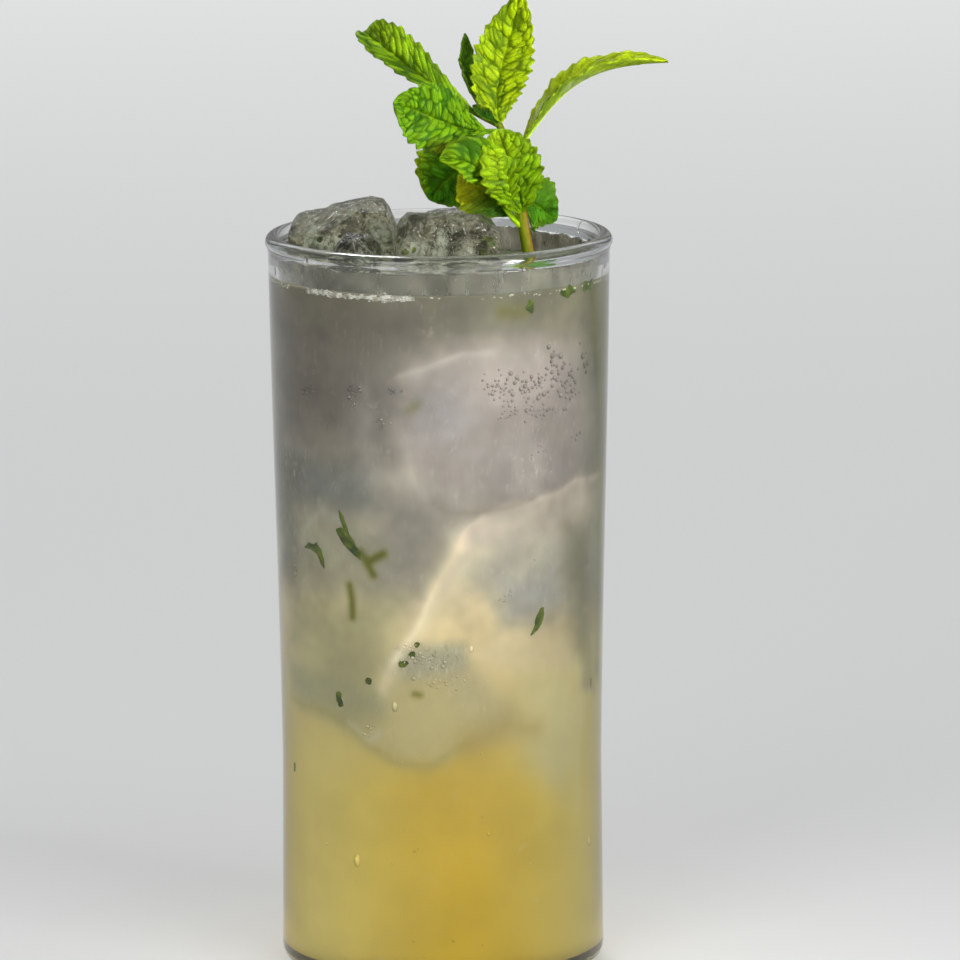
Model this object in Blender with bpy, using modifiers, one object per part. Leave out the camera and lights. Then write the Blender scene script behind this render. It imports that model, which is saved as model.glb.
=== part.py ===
"""Tall iced cocktail in a straight glass: cloudy drink, four ice cubes and a sprig of mint.

The origin is the centre of the glass's flat base, on the table. +Z is up, and the shown side faces -Y.
Sizes are in metres. The glass and the drink are turned, the ice cubes are worn blocks, and the
sprig is one plant: its stem, midribs and leaves are joined into one solid.
"""

import math

import bmesh
import bpy
from mathutils import Euler, Matrix, Vector, noise

MM = 0.001
GAP = 0.3 * MM

# Driving dimensions of the glass
GLASS_HEIGHT = 148.0 * MM
WALL_TOP_RADIUS = 34.15 * MM
WAIST_RADIUS = 32.2 * MM
WAIST_HEIGHT = 42.0 * MM
WALL_BOTTOM_RADIUS = 32.55 * MM
WALL_RINGS = (120.0, 98.0, 76.0, 54.0, 30.0)
WALL_TOP_THICKNESS = 2.2 * MM
WALL_BOTTOM_THICKNESS = 2.6 * MM
BEAD_RADIUS = 1.55 * MM
BEAD_RING_RADIUS = 33.15 * MM
HEEL_RADIUS = 3.0 * MM
FLOOR_HEIGHT = 2.8 * MM
FLOOR_CORNER_RADIUS = 4.2 * MM
TURNED_STEPS = 60

# The drink's level above the table
DRINK_LEVEL = 139.0 * MM

# Each ice cube: its centre, its edges along its own axes, its turn in degrees, how square its corners
# are, and how much narrower its top is than its bottom
ICE_CUBES = {
    "ice_cube_left": {
        "centre": (-17.8, 2.4, 140.6),
        "edges": (22.5, 17.5, 25.0),
        "turn": (4.0, -13.0, -6.0),
        "squareness": 6.0,
        "taper": 0.06,
    },
    "ice_cube_front": {
        "centre": (1.4, -14.8, 141.6),
        "edges": (24.0, 14.0, 24.4),
        "turn": (-5.0, 2.0, 5.0),
        "squareness": 9.0,
        "taper": 0.2,
    },
    "ice_cube_front_left": {
        "centre": (-16.7, -15.2, 140.0),
        "edges": (9.6, 11.0, 20.0),
        "turn": (3.0, 5.0, -16.0),
        "squareness": 5.0,
        "taper": 0.1,
    },
    "ice_cube_back": {
        "centre": (3.2, 12.0, 139.8),
        "edges": (15.5, 17.0, 21.5),
        "turn": (5.0, -4.0, 12.0),
        "squareness": 5.0,
        "taper": 0.1,
    },
}
ICE_CUTS = 4
ICE_DENT = 0.7 * MM
ICE_DENT_SIZE = 8.0 * MM

# The mint's main stem, from its cut end in the drink up to the crown
STEM_ROUTE = (
    (21.4, -7.8, 120.0),
    (19.4, -6.4, 133.0),
    (17.8, -5.2, 144.0),
    (16.5, -4.4, 151.5),
    (15.4, -3.0, 157.7),
    (14.3, -1.2, 163.5),
    (12.9, 0.0, 167.4),
    (12.1, 0.6, 169.5),
)
STEM_RADIUS = 1.4 * MM
STEM_TIP_SHARE = 0.5
STEM_BEVEL_RESOLUTION = 2

# Each leaf: four points that shape its spine in millimetres, the way its upper side faces, its half
# widths in millimetres, how far it folds along the spine in degrees, how far its edges cup, its twist
# in degrees, its teeth on a side, the place of its widest part and the length of its stalk
MINT_LEAVES = {
    "back_left": {
        "spine": ((12.2, 0.5, 169.1), (0.9, 6.1, 173.4), (-12.7, 1.2, 187.7), (-15.1, 10.5, 186.5)),
        "face": (0.28, -0.87, 0.42),
        "halves": (4.6, 5.5),
        "fold": 28.0,
        "cup": 0.05,
        "twist": 0.0,
        "teeth": 9,
        "widest": 0.64,
        "stalks": (0.1, 0.1),
    },
    "left": {
        "spine": ((12.6, 0.2, 168.1), (2.5, -7.2, 168.4), (-2.7, -10.9, 174.0), (-8.7, -12.0, 175.4)),
        "face": (-0.15, -0.95, 0.25),
        "halves": (7.3, 6.9),
        "fold": 6.0,
        "cup": 0.10,
        "twist": 0.0,
        "teeth": 8,
        "widest": 0.56,
        "stalks": (0.1, 0.1),
    },
    "low_left": {
        "spine": ((13.7, -0.6, 165.3), (5.9, 6.4, 162.0), (2.4, 13.0, 157.3), (-1.9, 13.0, 152.8)),
        "face": (-0.2, -0.95, 0.1),
        "halves": (6.6, 8.4),
        "fold": 8.0,
        "cup": 0.10,
        "twist": 0.0,
        "teeth": 7,
        "widest": 0.62,
        "stalks": (0.1, 0.1),
    },
    "low_front": {
        "spine": ((16.5, -4.4, 150.6), (10.6, -7.1, 155.2), (8.2, -6.1, 157.7), (4.1, -5.2, 160.1)),
        "face": (-0.30, -0.92, -0.06),
        "halves": (5.6, 3.0),
        "fold": 14.0,
        "cup": 0.16,
        "twist": 0.0,
        "teeth": 5,
        "widest": 0.58,
        "stalks": (0.1, 0.1),
    },
    "front": {
        "spine": ((16.5, -4.4, 151.6), (16.8, -8.8, 157.6), (13.3, -17.3, 165.5), (11.8, -12.5, 170.0)),
        "face": (0.05, -1.0, 0.1),
        "halves": (6.6, 6.4),
        "fold": 5.0,
        "cup": 0.16,
        "twist": 0.0,
        "teeth": 7,
        "widest": 0.66,
        "stalks": (0.02, 0.06),
    },
    "front_hooked": {
        "spine": ((16.9, -4.7, 149.1), (10.2, -7.4, 155.2), (10.0, -16.7, 166.3), (0.3, -16.0, 164.6)),
        "face": (-0.25, -0.90, 0.35),
        "halves": (3.4, 7.0),
        "fold": 8.0,
        "cup": 0.16,
        "twist": 0.0,
        "teeth": 6,
        "widest": 0.5,
        "stalks": (0.45, 0.2),
    },
    "tall": {
        "spine": ((12.4, 0.4, 168.6), (10.1, 4.4, 176.4), (14.4, 6.5, 184.0), (16.6, 0.5, 195.8)),
        "face": (0.0, -1.0, 0.05),
        "halves": (6.6, 6.2),
        "fold": 8.0,
        "cup": 0.08,
        "twist": 0.0,
        "teeth": 9,
        "widest": 0.52,
        "stalks": (0.02, 0.02),
    },
    "narrow": {
        "spine": ((12.2, 0.6, 169.3), (6.3, 6.1, 173.7), (4.4, 8.1, 179.4), (5.5, 8.5, 186.6)),
        "face": (0.90, -0.42, 0.12),
        "halves": (3.6, 3.6),
        "fold": 6.0,
        "cup": 0.14,
        "twist": 0.0,
        "teeth": 6,
        "widest": 0.6,
        "stalks": (0.1, 0.1),
    },
    "right": {
        "spine": ((14.5, -1.5, 162.5), (21.6, 0.7, 172.9), (26.5, 2.8, 182.2), (45.7, 0.5, 181.7)),
        "face": (-0.50, -0.12, 0.85),
        "halves": (4.8, 5.2),
        "fold": 8.0,
        "cup": 0.10,
        "twist": 0.0,
        "teeth": 10,
        "widest": 0.55,
        "stalks": (0.12, 0.12),
    },
    "low_right": {
        "spine": ((16.2, -4.0, 153.3), (18.9, 1.9, 154.0), (19.6, 4.8, 152.8), (23.5, 7.0, 149.2)),
        "face": (0.40, -0.90, 0.10),
        "halves": (6.2, 5.6),
        "fold": 4.0,
        "cup": 0.08,
        "twist": 0.0,
        "teeth": 6,
        "widest": 0.42,
        "stalks": (0.1, 0.1),
    },
    "bud": {
        "spine": ((12.2, 0.5, 169.2), (9.4, -0.1, 171.3), (8.4, 0.2, 172.2), (7.0, 1.0, 173.1)),
        "face": (0.3, -0.7, 0.6),
        "halves": (1.6, 1.6),
        "fold": 10.0,
        "cup": 0.1,
        "twist": 0.0,
        "teeth": 4,
        "widest": 0.5,
        "stalks": (0.1, 0.1),
    },
}
LEAF_THICKNESS = 0.5 * MM
LEAF_COLUMNS = 4
STALK_HALF_WIDTH = 0.55 * MM
TOOTH_TIP_PLACE = 0.72
TOOTH_DEPTH = 0.15
TIP_HALF_WIDTH = 0.25 * MM
OUTLINE_FULLNESS = 0.7
CUP_POWER = 1.6
EDGE_WAVE = 0.05
EDGE_WAVES = 2.5
MIDRIB_RADIUS = 0.55 * MM
MIDRIB_SHARE = 0.8
MIDRIB_POINTS = 8
MIDRIB_DROP = 0.35 * MM


def clear_scene():
    """Removes every object that the file starts with."""
    for obj in list(bpy.data.objects):
        bpy.data.objects.remove(obj)


def new_collection(name):
    """A collection in the scene."""
    collection = bpy.data.collections.new(name)
    bpy.context.scene.collection.children.link(collection)
    return collection


def new_material(name, colour, roughness, metallic=0.0, transmission=0.0):
    """A Principled material in the part's own colour."""
    material = bpy.data.materials.new(name)
    material.use_nodes = True
    shader = material.node_tree.nodes["Principled BSDF"]
    shader.inputs["Base Color"].default_value = (*colour, 1.0)
    shader.inputs["Roughness"].default_value = roughness
    shader.inputs["Metallic"].default_value = metallic
    shader.inputs["Transmission Weight"].default_value = transmission
    return material


def add_object(name, mesh, collection, material=None):
    """An object for the mesh, in the collection."""
    obj = bpy.data.objects.new(name, mesh)
    collection.objects.link(obj)
    if material is not None:
        mesh.materials.append(material)
    return obj


def as_mesh_object(obj, collection):
    """The evaluated object as a plain mesh object with its caps welded, in place of the first."""
    bpy.context.view_layer.update()
    graph = bpy.context.evaluated_depsgraph_get()
    mesh = bpy.data.meshes.new_from_object(obj.evaluated_get(graph))
    form = bmesh.new()
    form.from_mesh(mesh)
    bmesh.ops.remove_doubles(form, verts=form.verts, dist=0.001 * MM)
    form.to_mesh(mesh)
    form.free()
    name = obj.name
    place = obj.matrix_world.copy()
    bpy.data.objects.remove(obj)
    made = add_object(name, mesh, collection)
    made.matrix_world = place
    return made


def arc(centre, radius, start, end, steps):
    """Points (r, z) on an arc, both ends included, with angles in degrees."""
    points = []
    for index in range(steps + 1):
        angle = math.radians(start + (end - start) * index / steps)
        points.append((centre[0] + radius * math.cos(angle), centre[1] + radius * math.sin(angle)))
    return points


def wall_radius(height):
    """The outer radius of the glass's wall, which is a little narrower at a low waist."""
    if height < WAIST_HEIGHT:
        share = 1 - height / WAIST_HEIGHT
        return WAIST_RADIUS + (WALL_BOTTOM_RADIUS - WAIST_RADIUS) * share
    share = (height - WAIST_HEIGHT) / (GLASS_HEIGHT - WAIST_HEIGHT)
    eased = (share + share * share * (3 - 2 * share)) / 2
    return WAIST_RADIUS + (WALL_TOP_RADIUS - WAIST_RADIUS) * eased


def bore_radius(height):
    """The inner radius of the glass's wall."""
    share = height / GLASS_HEIGHT
    thickness = WALL_BOTTOM_THICKNESS + (WALL_TOP_THICKNESS - WALL_BOTTOM_THICKNESS) * share
    return wall_radius(height) - thickness


def turned(name, profile, collection, material):
    """A solid turned from (r, z) points that run from the axis, down the outer side, to the axis."""
    mesh = bpy.data.meshes.new(name)
    form = bmesh.new()
    corners = [form.verts.new((radius, 0.0, height)) for radius, height in profile]
    for first, second in zip(corners, corners[1:]):
        form.edges.new((first, second))
    form.to_mesh(mesh)
    form.free()
    obj = add_object(name, mesh, collection, material)
    screw = obj.modifiers.new("Turn", "SCREW")
    screw.axis = "Z"
    screw.angle = 2 * math.pi
    screw.steps = TURNED_STEPS
    screw.render_steps = TURNED_STEPS
    screw.use_merge_vertices = True
    screw.merge_threshold = 0.01 * MM
    screw.use_smooth_shade = True
    return obj


def make_glass(collection):
    """The straight tumbler: thick base, plain wall and a rolled rim."""
    bead_height = GLASS_HEIGHT - BEAD_RADIUS
    bore_top = bead_height - 1.4 * BEAD_RADIUS
    corner_height = FLOOR_HEIGHT + FLOOR_CORNER_RADIUS
    corner_radius_place = bore_radius(corner_height) - FLOOR_CORNER_RADIUS
    heights = [height * MM for height in WALL_RINGS]
    floor_corner = arc((corner_radius_place, corner_height), FLOOR_CORNER_RADIUS, -90, 0, 4)
    rim = arc((BEAD_RING_RADIUS, bead_height), BEAD_RADIUS, 215, -35, 8)
    heel_centre = (wall_radius(0) - HEEL_RADIUS, HEEL_RADIUS)
    heel = arc(heel_centre, HEEL_RADIUS, 0, -90, 3)
    profile = [(0.0, FLOOR_HEIGHT)]
    profile += floor_corner
    profile += [(bore_radius(height), height) for height in reversed(heights)]
    profile.append((bore_radius(bore_top), bore_top))
    profile += rim
    profile.append((wall_radius(bore_top), bore_top))
    profile += [(wall_radius(height), height) for height in heights]
    profile += heel
    profile.append((0.0, 0.0))
    material = new_material("clear_glass", (0.96, 0.98, 0.97), 0.02, transmission=1.0)
    return turned("glass", profile, collection, material)


def worn_block(name, cube, grow, collection, material):
    """A block of ice with rounded corners and shallow dents, grown by some width all round."""
    form = bmesh.new()
    bmesh.ops.create_cube(form, size=2.0)
    bmesh.ops.subdivide_edges(form, edges=form.edges, cuts=ICE_CUTS, use_grid_fill=True)
    half = Vector(cube["edges"]) * MM / 2
    square = cube["squareness"]
    for vert in form.verts:
        norm = sum(abs(x) ** square for x in vert.co) ** (1 / square)
        unit = vert.co / norm
        outward = Vector([math.copysign(abs(x) ** 3, x) / h for x, h in zip(unit, half)])
        outward.normalize()
        rounded = Vector([x * h for x, h in zip(unit, half)])
        dent = noise.noise(rounded / ICE_DENT_SIZE + half * 1000) * ICE_DENT
        narrowed = 1 - cube["taper"] * (unit.z + 1) / 2
        rounded.x *= narrowed
        rounded.y *= narrowed
        vert.co = rounded + outward * (dent + grow)
    bmesh.ops.triangulate(form, faces=form.faces)
    mesh = bpy.data.meshes.new(name)
    form.to_mesh(mesh)
    form.free()
    mesh.shade_smooth()
    return add_object(name, mesh, collection, material)


def place_block(obj, cube):
    """Puts a block at its place in the glass."""
    obj.location = Vector(cube["centre"]) * MM
    obj.rotation_euler = Euler([math.radians(angle) for angle in cube["turn"]])


def make_ice(collection, cutters):
    """The ice cubes that stand out of the drink, and for each a cutter a gap larger."""
    material = new_material("clear_ice", (0.86, 0.89, 0.86), 0.12, transmission=0.9)
    for name, cube in ICE_CUBES.items():
        place_block(worn_block(name, cube, 0.0, collection, material), cube)
        cutter = worn_block(name + "_pocket", cube, GAP, cutters, None)
        place_block(cutter, cube)
        as_cutter(cutter)


def as_cutter(obj):
    """Marks a helper object, which isn't part of the drink."""
    obj.hide_render = True
    obj.display_type = "WIRE"


def tube(name, points, radii, bevel_resolution, collection):
    """A round tube through the points, with its ends closed."""
    curve = bpy.data.curves.new(name, "CURVE")
    curve.dimensions = "3D"
    curve.bevel_depth = 1.0
    curve.bevel_resolution = bevel_resolution
    curve.use_fill_caps = True
    spline = curve.splines.new("POLY")
    spline.points.add(len(points) - 1)
    for point, place, radius in zip(spline.points, points, radii):
        point.co = (*place, 1.0)
        point.radius = radius
    obj = bpy.data.objects.new(name, curve)
    collection.objects.link(obj)
    return as_mesh_object(obj, collection)


def stem_points():
    """The stem's route in metres."""
    return [Vector(point) * MM for point in STEM_ROUTE]


def make_stem(name, grow, collection):
    """The main stem, which thins towards the crown, grown by some width all round."""
    points = stem_points()
    last = len(points) - 1
    radii = [STEM_RADIUS * (1 - (1 - STEM_TIP_SHARE) * i / last) + grow for i in range(last + 1)]
    if grow:
        points[0] = points[0] + (points[0] - points[1]).normalized() * grow
    return tube(name, points, radii, STEM_BEVEL_RESOLUTION, collection)


def spine_point(spine, share):
    """The point at a share of the way along a leaf's spine, and the way that it runs there."""
    a, b, c, d = (Vector(point) * MM for point in spine)
    rest = 1 - share
    place = a * rest**3 + b * 3 * rest**2 * share + c * 3 * rest * share**2 + d * share**3
    way = (b - a) * 3 * rest**2 + (c - b) * 6 * rest * share + (d - c) * 3 * share**2
    return place, way.normalized()


def leaf_outline(leaf, half, share, toothed):
    """How much of its half width that half of the leaf has at a place: a stalk, then an oval blade."""
    stalk = leaf["stalks"][half]
    blade = (share - stalk) / (1 - stalk)
    if blade <= 0:
        return 0.0
    power = math.log(0.5) / math.log(leaf["widest"])
    outline = math.sin(math.pi * min(blade, 1.0) ** power) ** OUTLINE_FULLNESS
    return outline * (1 - TOOTH_DEPTH * (1 - toothed))


def leaf_rows(leaf):
    """(share, toothed) for each row across a leaf: two on the stalk, then a notch and a tip by turns."""
    stalk = min(leaf["stalks"])
    rows = [(0.0, 1.0), (stalk * 0.6, 1.0)]
    for tooth in range(leaf["teeth"]):
        for place, toothed in ((0.0, 0.0), (TOOTH_TIP_PLACE, 1.0)):
            blade = (tooth + place) / leaf["teeth"]
            rows.append((stalk + (1 - stalk) * blade, toothed))
    rows.append((1.0, 0.0))
    return rows


def leaf_frame(leaf, share):
    """The spine's point, and the leaf's across and upward ways there."""
    place, way = spine_point(leaf["spine"], share)
    face = Vector(leaf["face"]).normalized()
    up = (face - way * face.dot(way)).normalized()
    up = Matrix.Rotation(math.radians(leaf["twist"]) * share, 3, way) @ up
    return place, way.cross(up), up


def leaf_blade(name, leaf, collection):
    """A leaf as a thin wavy solid: a grid laid along its spine, split into triangles, then thickened."""
    rows = leaf_rows(leaf)
    last = len(rows) - 1
    form = bmesh.new()
    bmesh.ops.create_grid(form, x_segments=LEAF_COLUMNS, y_segments=last, size=1.0)
    for vert in form.verts:
        across = vert.co.x
        share, toothed = rows[round((vert.co.y + 1) / 2 * last)]
        outer = abs(across) > 0.99
        half = 1 if across > 0 else 0
        outline = leaf_outline(leaf, half, share, toothed if outer else 0.5)
        half_width = leaf["halves"][half] * MM * outline
        half_width = max(half_width, STALK_HALF_WIDTH * (1 - share), TIP_HALF_WIDTH)
        place, side, up = leaf_frame(leaf, share)
        fold = math.radians(leaf["fold"])
        wave = EDGE_WAVE * math.sin(2 * math.pi * EDGE_WAVES * share + across) * across**2
        lift = math.sin(fold) * abs(across) + leaf["cup"] * abs(across) ** CUP_POWER + wave
        vert.co = place + side * (across * math.cos(fold) * half_width) + up * (lift * half_width)
    bmesh.ops.triangulate(form, faces=form.faces, quad_method="FIXED")
    mesh = bpy.data.meshes.new(name)
    form.to_mesh(mesh)
    form.free()
    obj = add_object(name, mesh, collection)
    thick = obj.modifiers.new("Thickness", "SOLIDIFY")
    thick.thickness = LEAF_THICKNESS
    thick.offset = 0.0
    return as_mesh_object(obj, collection)


def leaf_midrib(name, leaf, collection):
    """The raised midrib under a leaf, which joins it to the stem."""
    points = []
    radii = []
    for index in range(MIDRIB_POINTS):
        share = MIDRIB_SHARE * index / (MIDRIB_POINTS - 1)
        place, side, up = leaf_frame(leaf, share)
        points.append(place - up * MIDRIB_DROP * min(1.0, share * 4))
        radii.append(MIDRIB_RADIUS * (1 - 0.6 * index / (MIDRIB_POINTS - 1)))
    return tube(name, points, radii, 1, collection)


def make_mint(collection, helpers):
    """The sprig of mint: leaves and midribs joined to the stem by one union."""
    pieces = bpy.data.collections.new("sprig_pieces")
    bpy.context.scene.collection.children.link(pieces)
    for name, leaf in MINT_LEAVES.items():
        leaf_blade("blade_" + name, leaf, pieces)
        leaf_midrib("midrib_" + name, leaf, pieces)
    sprig = make_stem("mint_sprig", 0.0, collection)
    union = sprig.modifiers.new("Joined", "BOOLEAN")
    union.operation = "UNION"
    union.operand_type = "COLLECTION"
    union.collection = pieces
    union.solver = "MANIFOLD"
    sprig = as_mesh_object(sprig, collection)
    for piece in list(pieces.objects):
        bpy.data.objects.remove(piece)
    bpy.data.collections.remove(pieces)
    sprig.data.materials.append(new_material("mint_green", (0.22, 0.42, 0.03), 0.45))
    as_cutter(make_stem("stem_pocket", GAP, helpers))


def make_drink(collection, cutters):
    """The drink up to its level, a gap inside the glass, cut round the ice and the stem."""
    floor = FLOOR_HEIGHT + GAP
    corner_radius = FLOOR_CORNER_RADIUS - GAP
    corner_height = floor + corner_radius
    corner_place = bore_radius(corner_height) - GAP - corner_radius
    profile = [(0.0, DRINK_LEVEL), (bore_radius(DRINK_LEVEL) - GAP, DRINK_LEVEL)]
    profile += [(bore_radius(height * MM) - GAP, height * MM) for height in WALL_RINGS]
    profile += arc((corner_place, corner_height), corner_radius, 0, -90, 4)
    profile.append((0.0, floor))
    material = new_material("cloudy_drink", (0.62, 0.55, 0.26), 0.25)
    drink = turned("drink", profile, collection, material)
    for cutter in list(cutters.objects):
        cut = drink.modifiers.new("Round " + cutter.name, "BOOLEAN")
        cut.operation = "DIFFERENCE"
        cut.object = cutter
        cut.solver = "EXACT"


def main():
    """Builds the cocktail."""
    clear_scene()
    cocktail = new_collection("cocktail")
    cutters = new_collection("cutters")
    make_glass(cocktail)
    make_ice(cocktail, cutters)
    make_mint(cocktail, cutters)
    make_drink(cocktail, cutters)


main()
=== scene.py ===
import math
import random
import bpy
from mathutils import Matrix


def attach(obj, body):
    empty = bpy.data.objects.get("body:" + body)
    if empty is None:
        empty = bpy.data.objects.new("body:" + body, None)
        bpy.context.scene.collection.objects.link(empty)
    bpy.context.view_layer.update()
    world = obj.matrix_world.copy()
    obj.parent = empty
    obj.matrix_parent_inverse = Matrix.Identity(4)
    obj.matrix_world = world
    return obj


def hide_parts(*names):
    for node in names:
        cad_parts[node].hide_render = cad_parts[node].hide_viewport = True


bl_info = {
    "name": "Iced cocktail with mint",
    "version": (1, 0, 0),
    "blender": (4, 5, 0),
    "location": "3D View > Sidebar > Cocktail",
    "description": "Models a tall iced drink in its glass, with ice cubes and a sprig of mint",
    "category": "Object",
}

from contextlib import contextmanager

import bmesh
import bpy
import numpy as np
from bpy.props import FloatProperty, FloatVectorProperty, IntProperty, PointerProperty
from bpy.types import Operator, Panel, PropertyGroup
from mathutils import Euler, Matrix, Vector, noise

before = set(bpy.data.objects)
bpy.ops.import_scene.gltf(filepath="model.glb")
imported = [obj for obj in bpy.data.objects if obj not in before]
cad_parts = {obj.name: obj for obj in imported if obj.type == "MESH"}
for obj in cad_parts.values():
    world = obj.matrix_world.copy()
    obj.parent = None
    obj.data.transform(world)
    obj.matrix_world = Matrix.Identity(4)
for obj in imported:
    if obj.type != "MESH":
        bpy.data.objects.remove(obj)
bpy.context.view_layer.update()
BODY = "root"
MM = 0.001

# The glass's driving sizes, as in its CAD
GLASS_HEIGHT = 148.0 * MM
WALL_TOP_RADIUS = 34.15 * MM
WAIST_RADIUS = 32.2 * MM
WAIST_HEIGHT = 42.0 * MM
WALL_BOTTOM_RADIUS = 32.55 * MM
WALL_TOP_THICKNESS = 2.2 * MM
WALL_BOTTOM_THICKNESS = 2.6 * MM
BEAD_RADIUS = 1.55 * MM
BEAD_RING_RADIUS = 33.15 * MM
HEEL_RADIUS = 3.0 * MM
FLOOR_HEIGHT = 2.8 * MM
FLOOR_CORNER_RADIUS = 4.2 * MM
WALL_RING_STEP = 4.0 * MM
GLASS_FLOOR_RINGS = (12.0 * MM, 22.0 * MM)

# The glass is darker where it is seen at a grazing angle, which sets in between two heights
GLASS_EDGE_TINT = (0.36, 0.37, 0.34)
GLASS_EDGE_HEIGHTS = (4 * MM, 14 * MM)

# How many mm of the unrolled wall lie in one degree
UNROLL = math.radians(1.0) * 31.0

# How strongly water and the drink refract
WATER_REFRACTION = 1.33
DRINK_REFRACTION = 1.34

# The drink's level, how far its side reaches into the glass's wall, and the steps of its mesh
DRINK_LEVEL = 139.0 * MM
DRINK_REACH = 0.1 * MM
DRINK_ROW = 0.55 * MM
DRINK_FLOOR_RING = 14.0 * MM
MENISCUS_WIDTH = 2.4 * MM
SURFACE_RING_STEP = 0.9 * MM

# The film that the drink leaves on the wall above it
FILM_TOP = 144.6 * MM
FILM_STEPS = 240

# Ice cubes: centre and edges in mm, turn in degrees, squareness of the corners, narrowing of the top,
# and chips (x, y, z, radius) in mm
ICE_CUBES = {
    "ice_cube_left": {
        "centre": (-17.8, 2.4, 140.6),
        "edges": (22.5, 17.5, 25.0),
        "turn": (4.0, -13.0, -6.0),
        "squareness": 6.0,
        "taper": 0.06,
        "chips": (
            (9.0, -9.5, 11.5, 3.4), (-9.5, -9.0, 6.0, 3.0), (2.0, -9.6, 13.6, 2.6),
            (-4.0, 6.0, 14.2, 3.2),
        ),
    },
    "ice_cube_front": {
        "centre": (1.4, -14.8, 141.6),
        "edges": (24.0, 14.0, 24.4),
        "turn": (-5.0, 2.0, 5.0),
        "squareness": 9.0,
        "taper": 0.2,
        "chips": (
            (10.5, -7.0, 12.4, 3.0), (-9.8, -6.6, 12.6, 2.4), (1.0, -6.8, 13.6, 2.2),
            (5.0, 6.4, 13.6, 2.8),
        ),
    },
    "ice_cube_front_left": {
        "centre": (-16.7, -15.2, 140.0),
        "edges": (9.6, 11.0, 20.0),
        "turn": (3.0, 5.0, -16.0),
        "squareness": 5.0,
        "taper": 0.1,
        "chips": ((4.6, -5.0, 9.0, 2.0),),
    },
    "ice_cube_back": {
        "centre": (3.2, 12.0, 139.8),
        "edges": (15.5, 17.0, 21.5),
        "turn": (5.0, -4.0, 12.0),
        "squareness": 5.0,
        "taper": 0.1,
        "chips": ((-7.6, -7.6, 10.4, 3.0), (7.0, 2.0, 11.2, 2.6)),
    },
}

# The worn surface of the ice: how deep and how wide its dents, ripples and grain are, its mesh's cuts,
# and the flat facets shaved off it
ICE_DENT = 0.7 * MM
ICE_DENT_SIZE = 8.0 * MM
ICE_RIPPLE = 0.42 * MM
ICE_RIPPLE_SIZE = 3.0 * MM
ICE_GRAIN = 0.16 * MM
ICE_GRAIN_SIZE = 1.1 * MM
ICE_CUTS = 72
ICE_FACETS = 16
ICE_FACET_BITE = 1.1 * MM
FACET_ROUNDNESS = 1.35
SHADED_CUBE = "ice_cube_front_left"
SHADED_ICE = 0.36

# Bits of mint in the ice: the cube, a point close to its face in mm, and the bit's half width in mm
ICE_MINT = (
    ("ice_cube_front", (9.6, -20.0, 149.0), 1.9),
    ("ice_cube_front", (8.6, -20.0, 146.6), 1.3),
    ("ice_cube_front", (-6.8, -21.0, 147.2), 1.1),
    ("ice_cube_front", (-4.6, -21.0, 147.6), 0.8),
    ("ice_cube_front", (-8.6, -20.0, 149.4), 0.6),
    ("ice_cube_left", (-20.0, -8.0, 149.0), 0.7),
    ("ice_cube_left", (-24.0, -6.0, 147.5), 0.9),
    ("ice_cube_back", (4.0, 16.0, 147.0), 1.0),
)
ICE_MINT_DEPTH = 0.35 * MM

# The pockets that the cubes leave in the drink
POCKET_CUTS = 14
POCKET_SHRINK = 0.06 * MM

# The stem's route, its radius and how much of that is left at the crown
STEM_ROUTE = (
    (21.4, -7.8, 120.0),
    (19.4, -6.4, 133.0),
    (17.8, -5.2, 144.0),
    (16.5, -4.4, 151.5),
    (15.4, -3.0, 157.7),
    (14.3, -1.2, 163.5),
    (12.9, 0.0, 167.4),
    (12.1, 0.6, 169.5),
)
STEM_RADIUS = 1.4 * MM
STEM_TIP_SHARE = 0.5
STEM_POINTS = 60
STEM_JOINTS = (0.43, 0.62, 0.8)
STEM_JOINT_SWELL = 0.16
STEM_JOINT_LENGTH = 0.03
STEM_TINTS = ((0.11, 0.13, 0.002), (0.05, 0.07, 0.002))
STEM_RUST = (0.16, 0.042, 0.002)
RUST_TOP = 156

# Leaf tints, as bright as they look in soft light
LIME = (0.58, 0.74, 0.003)
FRESH = (0.33, 0.56, 0.003)
GRASS = (0.085, 0.32, 0.002)
DEEP = (0.03, 0.13, 0.002)
# Painted shade, for the valleys between the cells and the shaded parts of the leaves
SHADE = (0.01, 0.055, 0.001)
# A painted highlight: whitish gloss on the curled right leaf's upper side
GLOSS_HIGHLIGHT = (0.80, 0.84, 0.50)
YELLOW = (0.95, 0.93, 0.012)
RUST = (0.62, 0.16, 0.005)

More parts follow.
